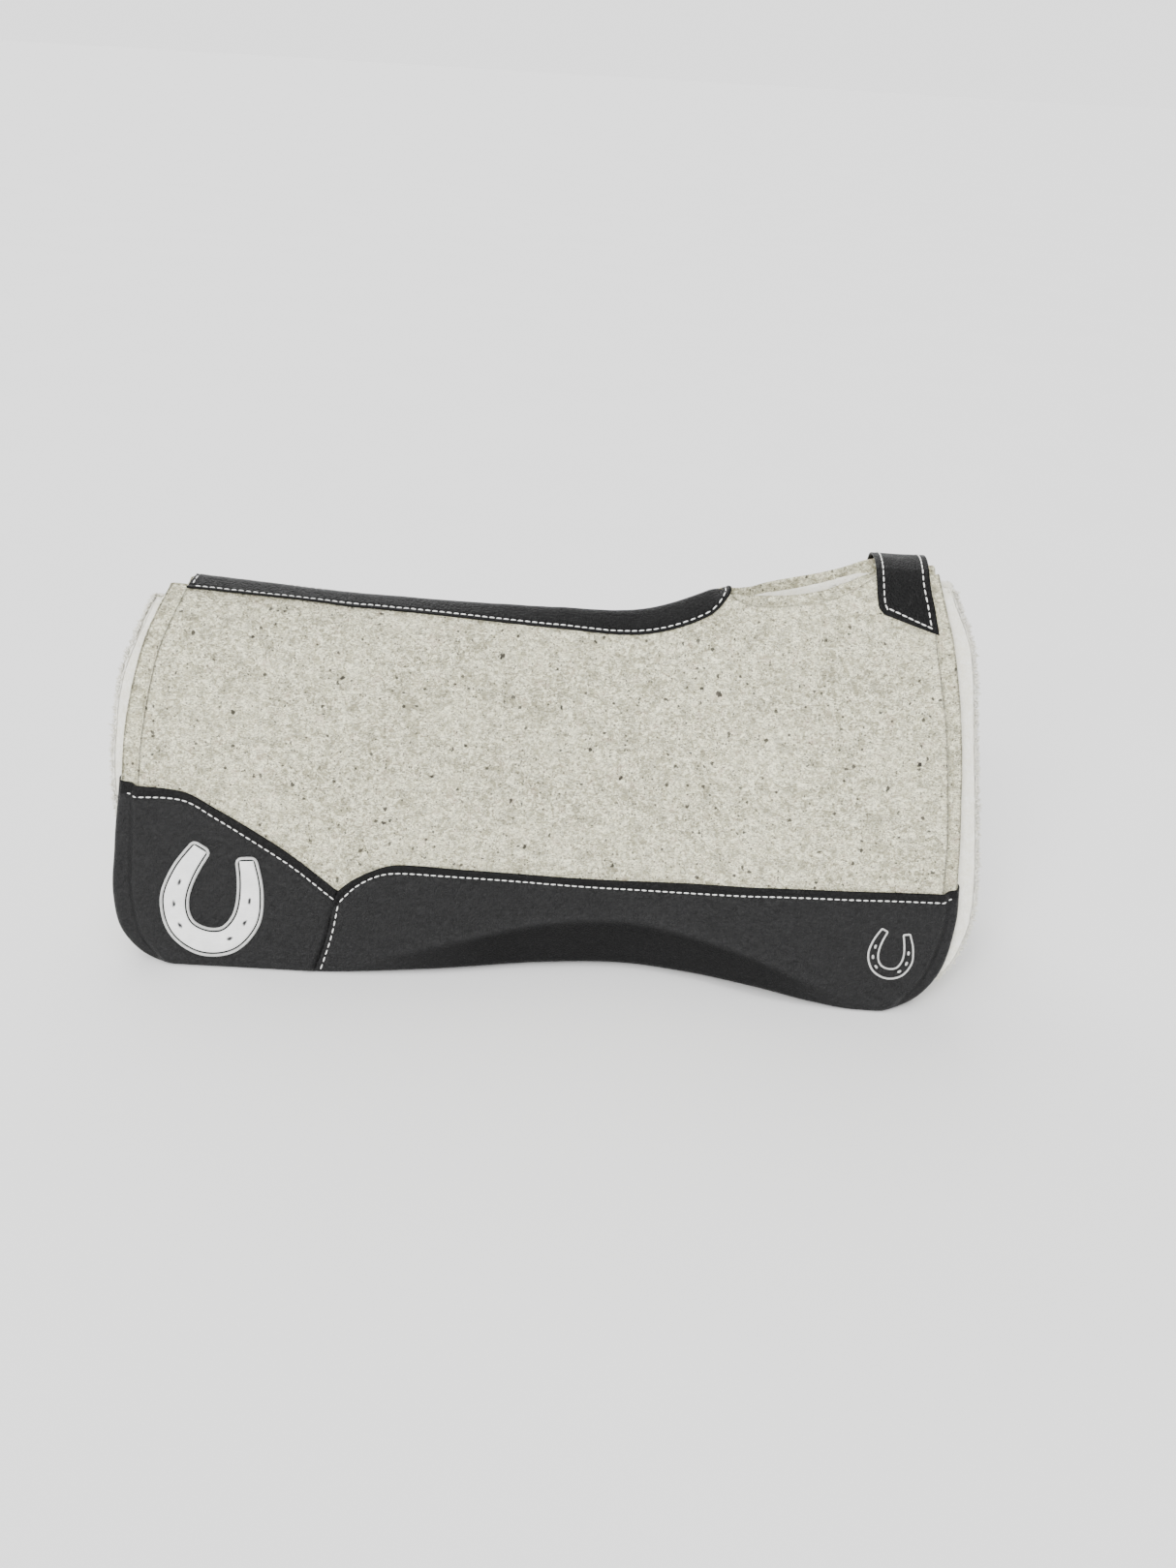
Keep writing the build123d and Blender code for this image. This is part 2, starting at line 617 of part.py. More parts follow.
right_pieces = [
    panel(OUTER_FELT, OUTER_RUNS, OUTER_RIM, "outer_felt"),
    panel(INNER_FELT, INNER_RUNS, INNER_RIM, "inner_felt"),
    panel(FLEECE, FLEECE_RUNS, FLEECE_RIM, "fleece_lining"),
    wear_leather(rear_region, "rear_wear_leather"),
    wear_leather(front_region, "front_wear_leather"),
    emblem(patch.sketch, *BIG_SHOE_PLACE, "rear_emblem_patch"),
    emblem(edging(BIG_SHOE, *BIG_EDGING), *BIG_SHOE_PLACE, "rear_emblem_edging"),
    front_emblem(),
    stitches(stitch_frames(REAR_ROW, ON_WEAR_LEATHER), "rear_leather_stitches"),
    stitches(stitch_frames(FRONT_ROW, ON_WEAR_LEATHER), "front_leather_stitches"),
    stitches(stitch_frames(SEAM_ROW, ON_WEAR_LEATHER), "leather_seam_stitches"),
    stitches(
        stitch_frames(SPINE_ROW, ON_TRIM_LEATHER, True) + stitch_frames(SPINE_END_ROW, ON_TRIM_LEATHER, True),
        "spine_stitches",
    ),
    stitches([f for row in STRAP_ROWS for f in stitch_frames(row, ON_TRIM_LEATHER)], "strap_stitches"),
]

# ---------------------------------------------------------------- write every piece
for piece in right_pieces:
    name = piece.label
    piece.label = "right_" + name
    export_step(piece, f"parts/right_{name}.step")
    with BuildPart() as mirrored:
        mirror(piece, about=Plane.XZ)
    mirrored.part.label = "left_" + name
    export_step(mirrored.part, f"parts/left_{name}.step")

shared_pieces = [
    make_spine_leather(),
    make_wither_strap(),
    stitches(strap_bridge_frames(), "strap_bridge_stitches"),
    make_seam_thread(),
]
for piece in shared_pieces:
    export_step(piece, f"parts/{piece.label}.step")
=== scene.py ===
from functools import partial
from math import cos, pi, radians, sin

import bpy
import numpy as np
from mathutils import Matrix, Vector


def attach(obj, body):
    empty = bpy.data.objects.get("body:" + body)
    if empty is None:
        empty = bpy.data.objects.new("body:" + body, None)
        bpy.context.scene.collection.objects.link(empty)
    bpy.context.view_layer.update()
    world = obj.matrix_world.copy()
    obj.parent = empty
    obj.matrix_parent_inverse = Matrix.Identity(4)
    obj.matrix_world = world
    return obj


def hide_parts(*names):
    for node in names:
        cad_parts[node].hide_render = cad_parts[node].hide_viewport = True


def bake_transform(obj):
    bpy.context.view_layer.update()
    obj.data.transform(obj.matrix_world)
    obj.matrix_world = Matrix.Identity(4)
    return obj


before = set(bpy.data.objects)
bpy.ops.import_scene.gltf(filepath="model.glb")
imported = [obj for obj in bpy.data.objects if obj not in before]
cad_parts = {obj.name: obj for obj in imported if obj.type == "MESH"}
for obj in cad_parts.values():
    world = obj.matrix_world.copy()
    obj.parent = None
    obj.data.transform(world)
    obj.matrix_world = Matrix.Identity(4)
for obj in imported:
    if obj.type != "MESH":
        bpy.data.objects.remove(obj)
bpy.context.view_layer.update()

# The pad's shape is worked out in millimetres for the right side (y < 0) and mirrored for the left one.
MM = 0.001
MIRROR = (1, -1, 1)

# ---------------------------------------------------------------- the pad's surface
SHOULDER_RADIUS, FLANK, CURL_RADIUS = 80.0, radians(73), 45.0
# x, height of the crest, roof slope, straight roof, height of the crease, curl below it
SECTIONS = np.array([
    (-410, 337, 12, 0, 0, 0),
    (-300, 330, 11.5, 0, 0, 0),
    (-200, 323.5, 11, 0, 6, 0),
    (-100, 321.5, 15, 0, 28, 10),
    (0, 322, 26, 0, 49, 18),
    (80, 325.5, 33, 2, 54, 20),
    (145, 350.5, 37, 10, 48, 18),
    (205, 386, 38, 25, 40, 14),
    (265, 400, 38, 28, 20, 7),
    (330, 402, 38, 28, 4, 0),
    (410, 402, 38, 28, 0, 0),
], float)
TABLE_X = np.arange(-430.0, 431.0)


def cubic(t, span, first, last, first_slope, last_slope):
    """From first to last as t goes from 0 to 1 along a span, with those slopes at its ends."""
    return (
        (2 * t**3 - 3 * t**2 + 1) * first
        + (3 * t**2 - 2 * t**3) * last
        + span * ((t**3 - 2 * t**2 + t) * first_slope + (t**3 - t**2) * last_slope)
    )


def hermite(knots, values, at):
    """A smooth curve through (knots, values), held at its end values outside them."""
    knots, values = np.asarray(knots, float), np.asarray(values, float)
    at = np.clip(at, knots[0], knots[-1])
    i = np.clip(np.searchsorted(knots, at, side="right") - 1, 0, len(knots) - 2)
    order = np.arange(len(knots))
    low, high = np.maximum(order - 1, 0), np.minimum(order + 1, len(knots) - 1)
    slope = (values[high] - values[low]) / (knots[high] - knots[low])
    span = knots[i + 1] - knots[i]
    return cubic((at - knots[i]) / span, span, values[i], values[i + 1], slope[i], slope[i + 1])


SECTION_TABLE = [hermite(SECTIONS[:, 0], SECTIONS[:, c], TABLE_X) for c in range(1, 6)]


def skin(x, down, depth=0.0):
    """The right side at x, that far down the surface from the seam and that deep: x, y, z and slope angle."""
    x, down, depth = np.broadcast_arrays(*[np.asarray(v, float) for v in (x, down, depth)])
    crest, roof, straight, crease, curl = [np.interp(x, TABLE_X, column) for column in SECTION_TABLE]
    roof, curl, straight = np.radians(roof), np.radians(np.maximum(curl, 0)), np.maximum(straight, 0)
    turn_end = crest - straight * np.sin(roof) - SHOULDER_RADIUS * (np.cos(roof) - cos(FLANK))
    bend = CURL_RADIUS * curl
    side = (turn_end - crease) / sin(FLANK) - bend / 2
    y, z, angle = np.zeros_like(x), crest.copy(), roof.copy()
    left = down.copy()
    runs = [(straight, roof, roof), (SHOULDER_RADIUS * (FLANK - roof), roof, roof * 0 + FLANK),
            (side, roof * 0 + FLANK, roof * 0 + FLANK), (bend, roof * 0 + FLANK, FLANK + curl),
            (roof * 0 + 900, FLANK + curl, FLANK + curl)]
    for length, start, end in runs:
        step = np.clip(left, None if length is runs[0][0] else 0, length)
        turn = np.where(length > 1e-6, (end - start) / np.maximum(length, 1e-6), 0)
        now = start + step * turn * (left > 0)
        bent = np.abs(turn) > 1e-9
        safe = np.where(bent, turn, 1)
        y = y + np.where(bent, (np.sin(now) - np.sin(start)) / safe, step * np.cos(start))
        z = z - np.where(bent, (np.cos(start) - np.cos(now)) / safe, step * np.sin(start))
        angle = np.where(left > 0, now, angle)
        left = left - step
    return x, -(y - depth * np.sin(angle)), z - depth * np.cos(angle), angle


def on_skin(flat, depth):
    """Points of the right side for (x, down) points, and straight out of it there."""
    x, y, z, angle = skin(flat[..., 0], flat[..., 1], depth)
    return np.stack([x, y, z], axis=-1), np.stack([angle * 0, -np.sin(angle), np.cos(angle)], axis=-1)


def search(x, depth, test):
    """How far down the surface test(y, z) stops being true, for each x."""
    x, depth = np.broadcast_arrays(np.asarray(x, float), np.asarray(depth, float))
    low, high = np.full(x.shape, -30.0), np.full(x.shape, 520.0)
    for _ in range(34):
        middle = (low + high) / 2
        _, y, z, _ = skin(x, middle, depth)
        ok = test(y, z)
        low, high = np.where(ok, middle, low), np.where(ok, high, middle)
    return low


def down_at_z(x, z, depth=0.0):
    """How far down the surface it reaches that height."""
    return search(x, depth, lambda yy, zz: zz > z)


def down_at_y(x, y, depth=0.0):
    """How far down the surface it reaches that distance from the middle."""
    return search(x, depth, lambda yy, zz: yy > y)


def smooth(t):
    """0 below 0, 1 above 1, and a smooth step between."""
    t = np.clip(t, 0, 1)
    return t * t * (3 - 2 * t)


def hump(distance, width):
    """1 at no distance, falling away smoothly over that width."""
    return np.exp(-((distance / width) ** 2))


# ---------------------------------------------------------------- noise
def lattice(ix, iy, iz, seed):
    """A fixed random value from -1 to 1 for each corner of a cube lattice."""
    h = (ix * 374761393 + iy * 668265263 + iz * 2147483647 + seed * 1274126177) & 0xFFFFFFFF
    h = ((h ^ (h >> 13)) * 1274126177) & 0xFFFFFFFF
    h = (h ^ (h >> 16)) & 0xFFFFFFFF
    return h.astype(float) / 0xFFFFFFFF * 2 - 1


def noise(points, size, seed=0):
    """Smooth value noise from -1 to 1, with features of that size."""
    p = np.asarray(points, float) / size + 1000.5
    base = np.floor(p).astype(np.int64)
    f = p - base
    f = f * f * (3 - 2 * f)
    total = 0
    for dx in (0, 1):
        for dy in (0, 1):
            for dz in (0, 1):
                w = (
                    (f[..., 0] if dx else 1 - f[..., 0])
                    * (f[..., 1] if dy else 1 - f[..., 1])
                    * (f[..., 2] if dz else 1 - f[..., 2])
                )
                total = total + w * lattice(base[..., 0] + dx, base[..., 1] + dy, base[..., 2] + dz, seed)
    return total


def layered(points, size, seed=0, octaves=3):
    """Noise with finer and finer detail added to it."""
    return sum(noise(points, size / 2**k, seed + k) / 2**k for k in range(octaves)) / 1.75


# ---------------------------------------------------------------- outlines (x, z), as in the CAD pieces
WRAP = 2.6  # how far the leathers' outline lies outside the felts'
OUTER_REAR = [(-337, 345), (-345, 321), (-362, 275), (-374, 205), (-376.5, 150), (-376.5, 100)]
OUTER_REAR_CORNER = [(-376.5, 100), (-375, 60), (-362, 23), (-328, 3)]
OUTER_BOTTOM = [(-216, 3), (-120, 5.9), (-30, 6.9), (60, 6.9), (140, 7.9), (205, 10.9), (255, 6.4), (296, 3)]
OUTER_FRONT_CORNER = [(308, 3), (345, 24), (364, 60), (370.5, 105)]
OUTER_FRONT = [(370.5, 105), (370, 160), (361, 250), (353, 291), (345, 327), (337, 372), (332, 410)]
INNER_REAR = [(-350, 345), (-361, 324), (-379, 274), (-391, 212), (-393.5, 155), (-396.5, 100)]
INNER_REAR_CORNER = [(-396.5, 100), (-397, 60), (-386, 24), (-352, 2.6)]
INNER_BOTTOM = [(x, z - 0.4) for x, z in OUTER_BOTTOM]
INNER_FRONT_CORNER = [(318, 2.6), (349, 9.5), (373, 36), (384, 78), (384.5, 112)]
INNER_FRONT = [(384.5, 112), (383, 162), (376, 249), (363, 321), (351, 360), (338, 410)]
FLEECE_REAR = [(-366, 345), (-380, 300), (-399, 250), (-405, 190), (-403, 140), (-394, 95)]
FLEECE_REAR_CORNER = [(-394, 95), (-386, 42), (-368, 18), (-334, 5)]
FLEECE_BOTTOM = [(-305, 5), (-120, 9), (60, 11), (205, 14), (255, 9), (290, 5)]
FLEECE_FRONT_CORNER = [(308, 5), (345, 8), (381, 27), (400, 62), (405, 95)]
FLEECE_FRONT = [(405, 95), (403, 140), (392, 245), (382, 319), (363, 362), (350, 410)]
# round the opening at the withers, seen from above (x, y)
OUTER_RIM = [(150, 0), (157, -8), (169, -21), (187, -32), (213, -39), (245, -40), (268, -35), (286, -27),
             (304, -22)]
INNER_RIM = [(160, 0), (168, -5), (184, -15), (208, -24), (238, -26), (264, -21), (282, -15), (300, -13)]
FLEECE_RIM = [(164, 0), (172, -2), (188, -11), (210, -19), (238, -21), (262, -16), (280, -11), (300, -9)]
# the leathers' top edges and the seam between them
REAR_LEATHER_TOP = [(-334, 158.5), (-303, 145), (-262, 124), (-229, 105), (-187, 76)]
FRONT_LEATHER_TOP = [(-186.2, 76), (-172, 88), (-143, 100.5), (-120, 102), (-70, 98.5), (22, 92), (78, 91),
                     (145, 96), (219, 106), (312, 110), (384, 112.5)]
LEATHER_SEAM = [(-187, 76), (-195, 33), (-205, 4)]


def curve(points, start=None, end=None, count=80):
    """A smooth curve through points with optional end directions, evenly sampled."""
    p = np.asarray(points, float)
    chord = np.concatenate([[0], np.cumsum(np.linalg.norm(np.diff(p, axis=0), axis=1))])
    slope = np.empty_like(p)
    slope[1:-1] = (p[2:] - p[:-2]) / (chord[2:] - chord[:-2])[:, None]
    slope[0] = (p[1] - p[0]) / (chord[1] - chord[0])
    slope[-1] = (p[-1] - p[-2]) / (chord[-1] - chord[-2])
    if start is not None:
        slope[0] = start
    if end is not None:
        slope[-1] = end
    dense = np.linspace(0, chord[-1], count * 6)
    i = np.clip(np.searchsorted(chord, dense, side="right") - 1, 0, len(p) - 2)
    span = (chord[i + 1] - chord[i])[:, None]
    t = (dense - chord[i])[:, None] / span
    return evenly(cubic(t, span, p[i], p[i + 1], slope[i], slope[i + 1]), count)


def evenly(q, count):
    """count points at even distances along a polyline."""
    q = np.asarray(q, float)
    run = np.concatenate([[0], np.cumsum(np.linalg.norm(np.diff(q, axis=0), axis=1))])
    at = np.linspace(0, run[-1], count)
    return np.stack([np.interp(at, run, q[:, k]) for k in range(q.shape[1])], axis=1)


DOWN, ALONG, UP = (0, -1), (1, 0), (0, 1)


def side_run(rear, rear_corner, bottom, front_corner, front):
    """A panel's outline from the top of its rear edge, round the bottom, to the top of its front edge."""
    parts = [curve(rear, None, DOWN), curve(rear_corner, DOWN, ALONG), curve(bottom, ALONG, ALONG),
             curve(front_corner, ALONG, UP), curve(front, UP, None)]
    return np.concatenate(parts)


OUTER_RUN = side_run(OUTER_REAR, OUTER_REAR_CORNER, OUTER_BOTTOM, OUTER_FRONT_CORNER, OUTER_FRONT)
INNER_RUN = side_run(INNER_REAR, INNER_REAR_CORNER, INNER_BOTTOM, INNER_FRONT_CORNER, INNER_FRONT)
FLEECE_RUN = side_run(FLEECE_REAR, FLEECE_REAR_CORNER, FLEECE_BOTTOM, FLEECE_FRONT_CORNER, FLEECE_FRONT)

CHUNK = 4000  # points at a time, which keeps the arrays small


def distance_to(points, run):
    """Distance from each (x, z) point to a polyline, negative outside the panel that it bounds."""
    a, b = run[:-1], run[1:]
    d = b - a
    length = np.maximum((d**2).sum(1), 1e-9)
    out = np.empty(len(points))
    for i in range(0, len(points), CHUNK):
        p = points[i : i + CHUNK]
        t = np.clip(((p[:, None] - a[None]) * d[None]).sum(2) / length, 0, 1)
        near = a[None] + t[..., None] * d[None]
        gap = np.linalg.norm(p[:, None] - near, axis=2)
        k = gap.argmin(1)
        cross = d[k, 0] * (p[:, 1] - a[k, 1]) - d[k, 1] * (p[:, 0] - a[k, 0])
        out[i : i + CHUNK] = gap[np.arange(len(p)), k] * np.where(cross > 0, 1, -1)
    return out


# ---------------------------------------------------------------- meshes
def new_object(name, points, faces, material, left=False, uv=None, mask=None):
    """A mesh object from the right side's points in millimetres, mirrored where it is a left piece."""
    if left:
        points, faces = np.asarray(points) * MIRROR, [face[::-1] for face in faces]
    mesh = bpy.data.meshes.new(name)
    mesh.from_pydata((np.asarray(points) * MM).tolist(), [], faces)
    if uv is not None:
        layer = mesh.uv_layers.new(name="UVMap")
        index = np.empty(len(mesh.loops), np.int32)
        mesh.loops.foreach_get("vertex_index", index)
        layer.data.foreach_set("uv", np.asarray(uv, np.float32)[index].ravel())
    if mask is not None:
        attribute = mesh.attributes.new("mask", "FLOAT", "POINT")
        attribute.data.foreach_set("value", np.asarray(mask, np.float32))
    mesh.update()
    mesh.shade_smooth()
    obj = bpy.data.objects.new(name, mesh)
    bpy.context.collection.objects.link(obj)
    obj.data.materials.append(material)
    return obj


def grid_faces(rows, cols, start=0, flip=False):
    """Quads of a grid of points stored row by row."""
    i, j = np.meshgrid(np.arange(rows - 1), np.arange(cols - 1), indexing="ij")
    a = (i * cols + j + start).ravel()
    quads = np.stack([a, a + 1, a + cols + 1, a + cols], axis=1)
    return (quads[:, ::-1] if flip else quads).tolist()


def strip_faces(low, high, flip=False):
    """Quads between two rows of point indices."""
    low, high = np.asarray(low), np.asarray(high)
    quads = np.stack([low[:-1], low[1:], high[1:], high[:-1]], axis=1)
    return (quads[:, ::-1] if flip else quads).tolist()


def tube_faces(rings, sides, start):
    """Quads between rings of points stored one after another, each closed on itself."""
    index = np.arange(rings * sides).reshape(rings, sides) + start
    index = np.concatenate([index, index[:, :1]], axis=1)
    return [face for low, high in zip(index[:-1], index[1:]) for face in strip_faces(low, high)]


def coons(top, bottom, rear, front):
    """A grid of points between four edges: top and bottom run forwards, rear and front run downwards."""
    s = np.linspace(0, 1, len(top))[None, :, None]
    t = np.linspace(0, 1, len(rear))[:, None, None]
    corners = (
        (1 - s) * (1 - t) * top[0] + s * (1 - t) * top[-1] + (1 - s) * t * bottom[0] + s * t * bottom[-1]
    )
    return (1 - t) * top[None] + t * bottom[None] + (1 - s) * rear[:, None] + s * front[:, None] - corners


SEAM_Y = -0.2  # where the right side's panels end at the seam


def loop_sides(run, rim, depth, counts):
    """A panel's four edges at one depth as (x, down) points: top, bottom, rear and front."""
    rim = np.asarray(rim, float)
    run_down = down_at_z(run[:, 0], run[:, 1], depth)
    seam_down = down_at_y(run[:, 0], np.full(len(run), SEAM_Y), depth)
    front_down = down_at_y(run[:, 0], np.full(len(run), rim[-1, 1]), depth)
    half = len(run) // 2
    limit = np.where(np.arange(len(run)) < half, seam_down, front_down)
    inside = np.flatnonzero(run_down > limit + 0.5)
    path = np.stack([run[:, 0], run_down], axis=1)[inside[0] : inside[-1] + 1]
    first = np.array([path[0, 0], seam_down[inside[0]]])
    last = np.array([path[-1, 0], front_down[inside[-1]]])
    path = np.concatenate([[first], path, [last]])
    x, down = path.T
    rear_corner = np.argmin(np.hypot(x - x.min(), down - down[x < 0].max()))
    front_corner = np.argmin(np.hypot(x - x.max(), down - down[x > 200].max()))
    rim_curve = curve(rim, count=120)
    rim_curve = rim_curve[rim_curve[:, 0] < last[0] - 1]
    seam_x = np.linspace(first[0], rim_curve[0, 0] - 1, 60)
    top_x = np.concatenate([seam_x, rim_curve[:, 0], [last[0]]])
    top_y = np.concatenate([seam_x * 0 + SEAM_Y, np.minimum(rim_curve[:, 1], SEAM_Y), [rim[-1, 1]]])
    top = np.stack([top_x, down_at_y(top_x, top_y, depth)], axis=1)
    across, along = counts
    return (
        evenly(top, across),
        evenly(path[rear_corner : front_corner + 1], across),
        evenly(path[: rear_corner + 1], along),
        evenly(path[front_corner:][::-1], along),
    )


def joined(sides):
    """The four edges as a closed loop: down the rear, along the bottom, up the front, back along the top."""
    top, bottom, rear, front = sides
    return np.concatenate([rear[:-1], bottom[:-1], front[::-1][:-1], top[::-1][:-1]])


def split(loop, counts):
    """A closed loop back into top, bottom, rear and front edges."""
    across, along = counts
    loop = np.concatenate([loop, loop[:1]])
    a, b, c = along - 1, along - 1 + across - 1, 2 * (along - 1) + across - 1
    return loop[c:][::-1], loop[a : b + 1], loop[: a + 1], loop[b : c + 1][::-1]


def inset(loop, amount):
    """The loop moved inwards by that much."""
    run = np.roll(loop, -1, axis=0) - np.roll(loop, 1, axis=0)
    run = run / np.maximum(np.linalg.norm(run, axis=1), 1e-6)[:, None]
    normal = np.stack([run[:, 1], -run[:, 0]], axis=1)
    middle = loop.mean(0)
    if ((middle - loop) * normal).sum() < 0:
        normal = -normal
    return loop + normal * amount


def loop_index(rows, cols):
    """Indices of a grid's edge points in the order of joined()."""
    grid = np.arange(rows * cols).reshape(rows, cols)
    return np.concatenate([grid[:-1, 0], grid[-1, :-1], grid[::-1][:-1, -1], grid[0, ::-1][:-1]])


def rim_rise(points):
    """How far the fleece's pile stands up past the felts' cut edge, round the opening at the withers."""
    felt_rim = np.interp(points[:, 0], *np.transpose(INNER_RIM))
    beyond = smooth((points[:, 1] - felt_rim) / 3.0)
    return 4.5 * beyond * smooth((points[:, 0] - 158) / 12) * smooth((318 - points[:, 0]) / 12)


def panel(name, depths, run, rim, counts, profile, rough, material, left, seed):
    """A felt or fleece panel: two faces, and an edge shaped by profile's (share of depth, inset) pairs."""
    across, along = counts
    layers = [(depths[0] + (depths[1] - depths[0]) * share, edge_inset) for share, edge_inset in profile]
    faces, points, normals = [], [], []
    for (depth, edge_inset), way in ((layers[0], 1), (layers[-1], -1)):
        grid = coons(*split(inset(joined(loop_sides(run, rim, depth, counts)), edge_inset), counts))
        found, out = on_skin(grid, depth)
        faces += grid_faces(along, across, start=sum(len(p) for p in points), flip=way < 0)
        points.append(found.reshape(-1, 3))
        normals.append(out.reshape(-1, 3) * way)
    centre = points[0].mean(0)
    outer_index = loop_index(along, across)
    rows = [outer_index]
    for depth, edge_inset in layers[1:-1]:
        row, _ = on_skin(inset(joined(loop_sides(run, rim, depth, counts)), edge_inset), depth)
        rows.append(np.arange(len(row)) + sum(len(p) for p in points))
        points.append(row)
        normals.append((row - centre) / np.linalg.norm(row - centre, axis=1)[:, None])
    rows.append(outer_index + along * across)
    for low, high in zip(rows[:-1], rows[1:]):
        faces += strip_faces(np.append(low, low[0]), np.append(high, high[0]), flip=True)
    points, normals = np.concatenate(points), np.concatenate(normals)
    points = points + normals * rough(points, seed)[:, None]
    if "fleece" in name:
        points[:, 2] += rim_rise(points)
    return new_object(name, points, faces, material, left)


# ---------------------------------------------------------------- materials
def material(name, build, roughness, color):
    """A material whose node tree build(tree, shader, position) completes."""
    made = bpy.data.materials.new(name)
    made.use_nodes = True
    tree = made.node_tree
    shader = tree.nodes["Principled BSDF"]
    shader.inputs["Roughness"].default_value = roughness
    shader.inputs["Base Color"].default_value = (*color, 1)
    made.diffuse_color = (*color, 1)
    build(tree, shader, tree.nodes.new("ShaderNodeTexCoord").outputs["Object"])
    return made


def noise_node(tree, vector, scale, detail=3.0, rough=0.55, distortion=0.0):
    node = tree.nodes.new("ShaderNodeTexNoise")
    node.inputs["Scale"].default_value = scale
    node.inputs["Detail"].default_value = detail
    node.inputs["Roughness"].default_value = rough
    node.inputs["Distortion"].default_value = distortion
    tree.links.new(vector, node.inputs["Vector"])
    return node.outputs["Fac"]


def ramp(tree, value, low, high, first=0.0, last=1.0):
    """value carried from the range low..high to first..last, held at both ends."""
    node = tree.nodes.new("ShaderNodeMapRange")
    node.inputs["From Min"].default_value = low
    node.inputs["From Max"].default_value = high
    node.inputs["To Min"].default_value = first
    node.inputs["To Max"].default_value = last
    tree.links.new(value, node.inputs["Value"])
    return node.outputs["Result"]


def mix(tree, share, first, second):
    """A mix of two colours; share, first and second are outputs or constants."""
    node = tree.nodes.new("ShaderNodeMix")
    node.data_type = "RGBA"
    for value, place in ((share, 0), (first, 6), (second, 7)):
        if isinstance(value, bpy.types.NodeSocket):
            tree.links.new(value, node.inputs[place])
        elif place == 0:
            node.inputs[place].default_value = value
        else:
            node.inputs[place].default_value = (*value, 1)
    return node.outputs[2]


def combine(tree, first, second, operation="ADD"):
    node = tree.nodes.new("ShaderNodeMath")
    node.operation = operation
    for value, place in ((first, 0), (second, 1)):
        if isinstance(value, bpy.types.NodeSocket):
            tree.links.new(value, node.inputs[place])
        else:
            node.inputs[place].default_value = value
    return node.outputs[0]


def bump(tree, shader, height, distance, strength=1.0):
    node = tree.nodes.new("ShaderNodeBump")
    node.inputs["Strength"].default_value = strength
    node.inputs["Distance"].default_value = distance
    tree.links.new(height, node.inputs["Height"])
    tree.links.new(node.outputs["Normal"], shader.inputs["Normal"])


def scaled(tree, vector, scale):
    node = tree.nodes.new("ShaderNodeMapping")
    node.inputs["Scale"].default_value = scale
    tree.links.new(vector, node.inputs["Vector"])
    return node.outputs["Vector"]


def flecks(tree, position, scale, biggest, share):
    """Scattered dark flecks: a share of the cells of a cell pattern holds one, of its own size."""
    warp = tree.nodes.new("ShaderNodeTexNoise")
    warp.inputs["Scale"].default_value = scale * 2.3
    warp.inputs["Detail"].default_value = 2
    tree.links.new(position, warp.inputs["Vector"])
    push = tree.nodes.new("ShaderNodeVectorMath")
    push.operation = "SCALE"
    push.inputs["Scale"].default_value = 0.55 / scale
    tree.links.new(warp.outputs["Color"], push.inputs[0])
    moved = tree.nodes.new("ShaderNodeVectorMath")
    tree.links.new(position, moved.inputs[0])
    tree.links.new(push.outputs[0], moved.inputs[1])
    cells = tree.nodes.new("ShaderNodeTexVoronoi")
    cells.inputs["Scale"].default_value = scale
    tree.links.new(moved.outputs[0], cells.inputs["Vector"])
    parts = tree.nodes.new("ShaderNodeSeparateColor")
    tree.links.new(cells.outputs["Color"], parts.inputs["Color"])
    size = ramp(tree, parts.outputs["Red"], 1 - share, 1, 0, biggest)
    edge = combine(tree, size, cells.outputs["Distance"], "SUBTRACT")
    return ramp(tree, edge, 0, 0.05)


FELT_DARK, FELT_LIGHT = (0.44, 0.415, 0.28), (0.62, 0.59, 0.405)
FELT_PALE, FELT_DEEP = (1.0, 0.975, 0.74), (0.13, 0.118, 0.08)
FELT_RUST, FELT_STRAND, FELT_FLECK = (0.42, 0.30, 0.24), (0.07, 0.055, 0.042), (0.020, 0.016, 0.013)
# cells per metre, the biggest fleck as a share of a cell, the share of cells with a fleck, and its darkness
FLECK_LAYERS = [(70, 0.20, 0.42, 0.92), (150, 0.30, 0.42, 0.85), (380, 0.40, 0.45, 0.75)]


def felt_nodes(tree, shader, position):
    cloudy = noise_node(tree, position, 16, 4, 0.6)
    mottle = noise_node(tree, position, 210, 4, 0.7, 1.2)
    fibres = noise_node(tree, scaled(tree, position, (0.6, 1, 1.5)), 400, 4, 0.75, 1.6)
    patches = noise_node(tree, position, 85, 3, 0.6)
    body = mix(tree, ramp(tree, cloudy, 0.35, 0.65), FELT_DARK, FELT_LIGHT)
    body = mix(tree, ramp(tree, mottle, 0.43, 0.57), body, FELT_PALE)
    body = mix(tree, ramp(tree, fibres, 0.40, 0.54, 0.8, 0), body, FELT_DEEP)
    body = mix(tree, ramp(tree, patches, 0.34, 0.50, 0.4, 0), body, FELT_DEEP)
    body = mix(tree, ramp(tree, patches, 0.58, 0.70, 0, 0.3), body, FELT_RUST)
    strands = noise_node(tree, scaled(tree, position, (0.4, 1, 1.2)), 330, 2, 0.6, 1.8)
    body = mix(tree, ramp(tree, strands, 0.66, 0.74, 0, 0.45), body, FELT_STRAND)
    for scale, biggest, share, strength in FLECK_LAYERS:
        spots = combine(tree, flecks(tree, position, scale, biggest, share), strength, "MULTIPLY")
        body = mix(tree, spots, body, FELT_FLECK)
    tree.links.new(body, shader.inputs["Base Color"])
    shader.inputs["Sheen Weight"].default_value = 0.12
    shader.inputs["Sheen Roughness"].default_value = 0.6
    shader.inputs["Specular IOR Level"].default_value = 0.15
    fine = noise_node(tree, position, 1300, 3, 0.7, 0.5)
    bump(tree, shader, combine(tree, combine(tree, fibres, mottle), fine), 0.0009, 0.9)


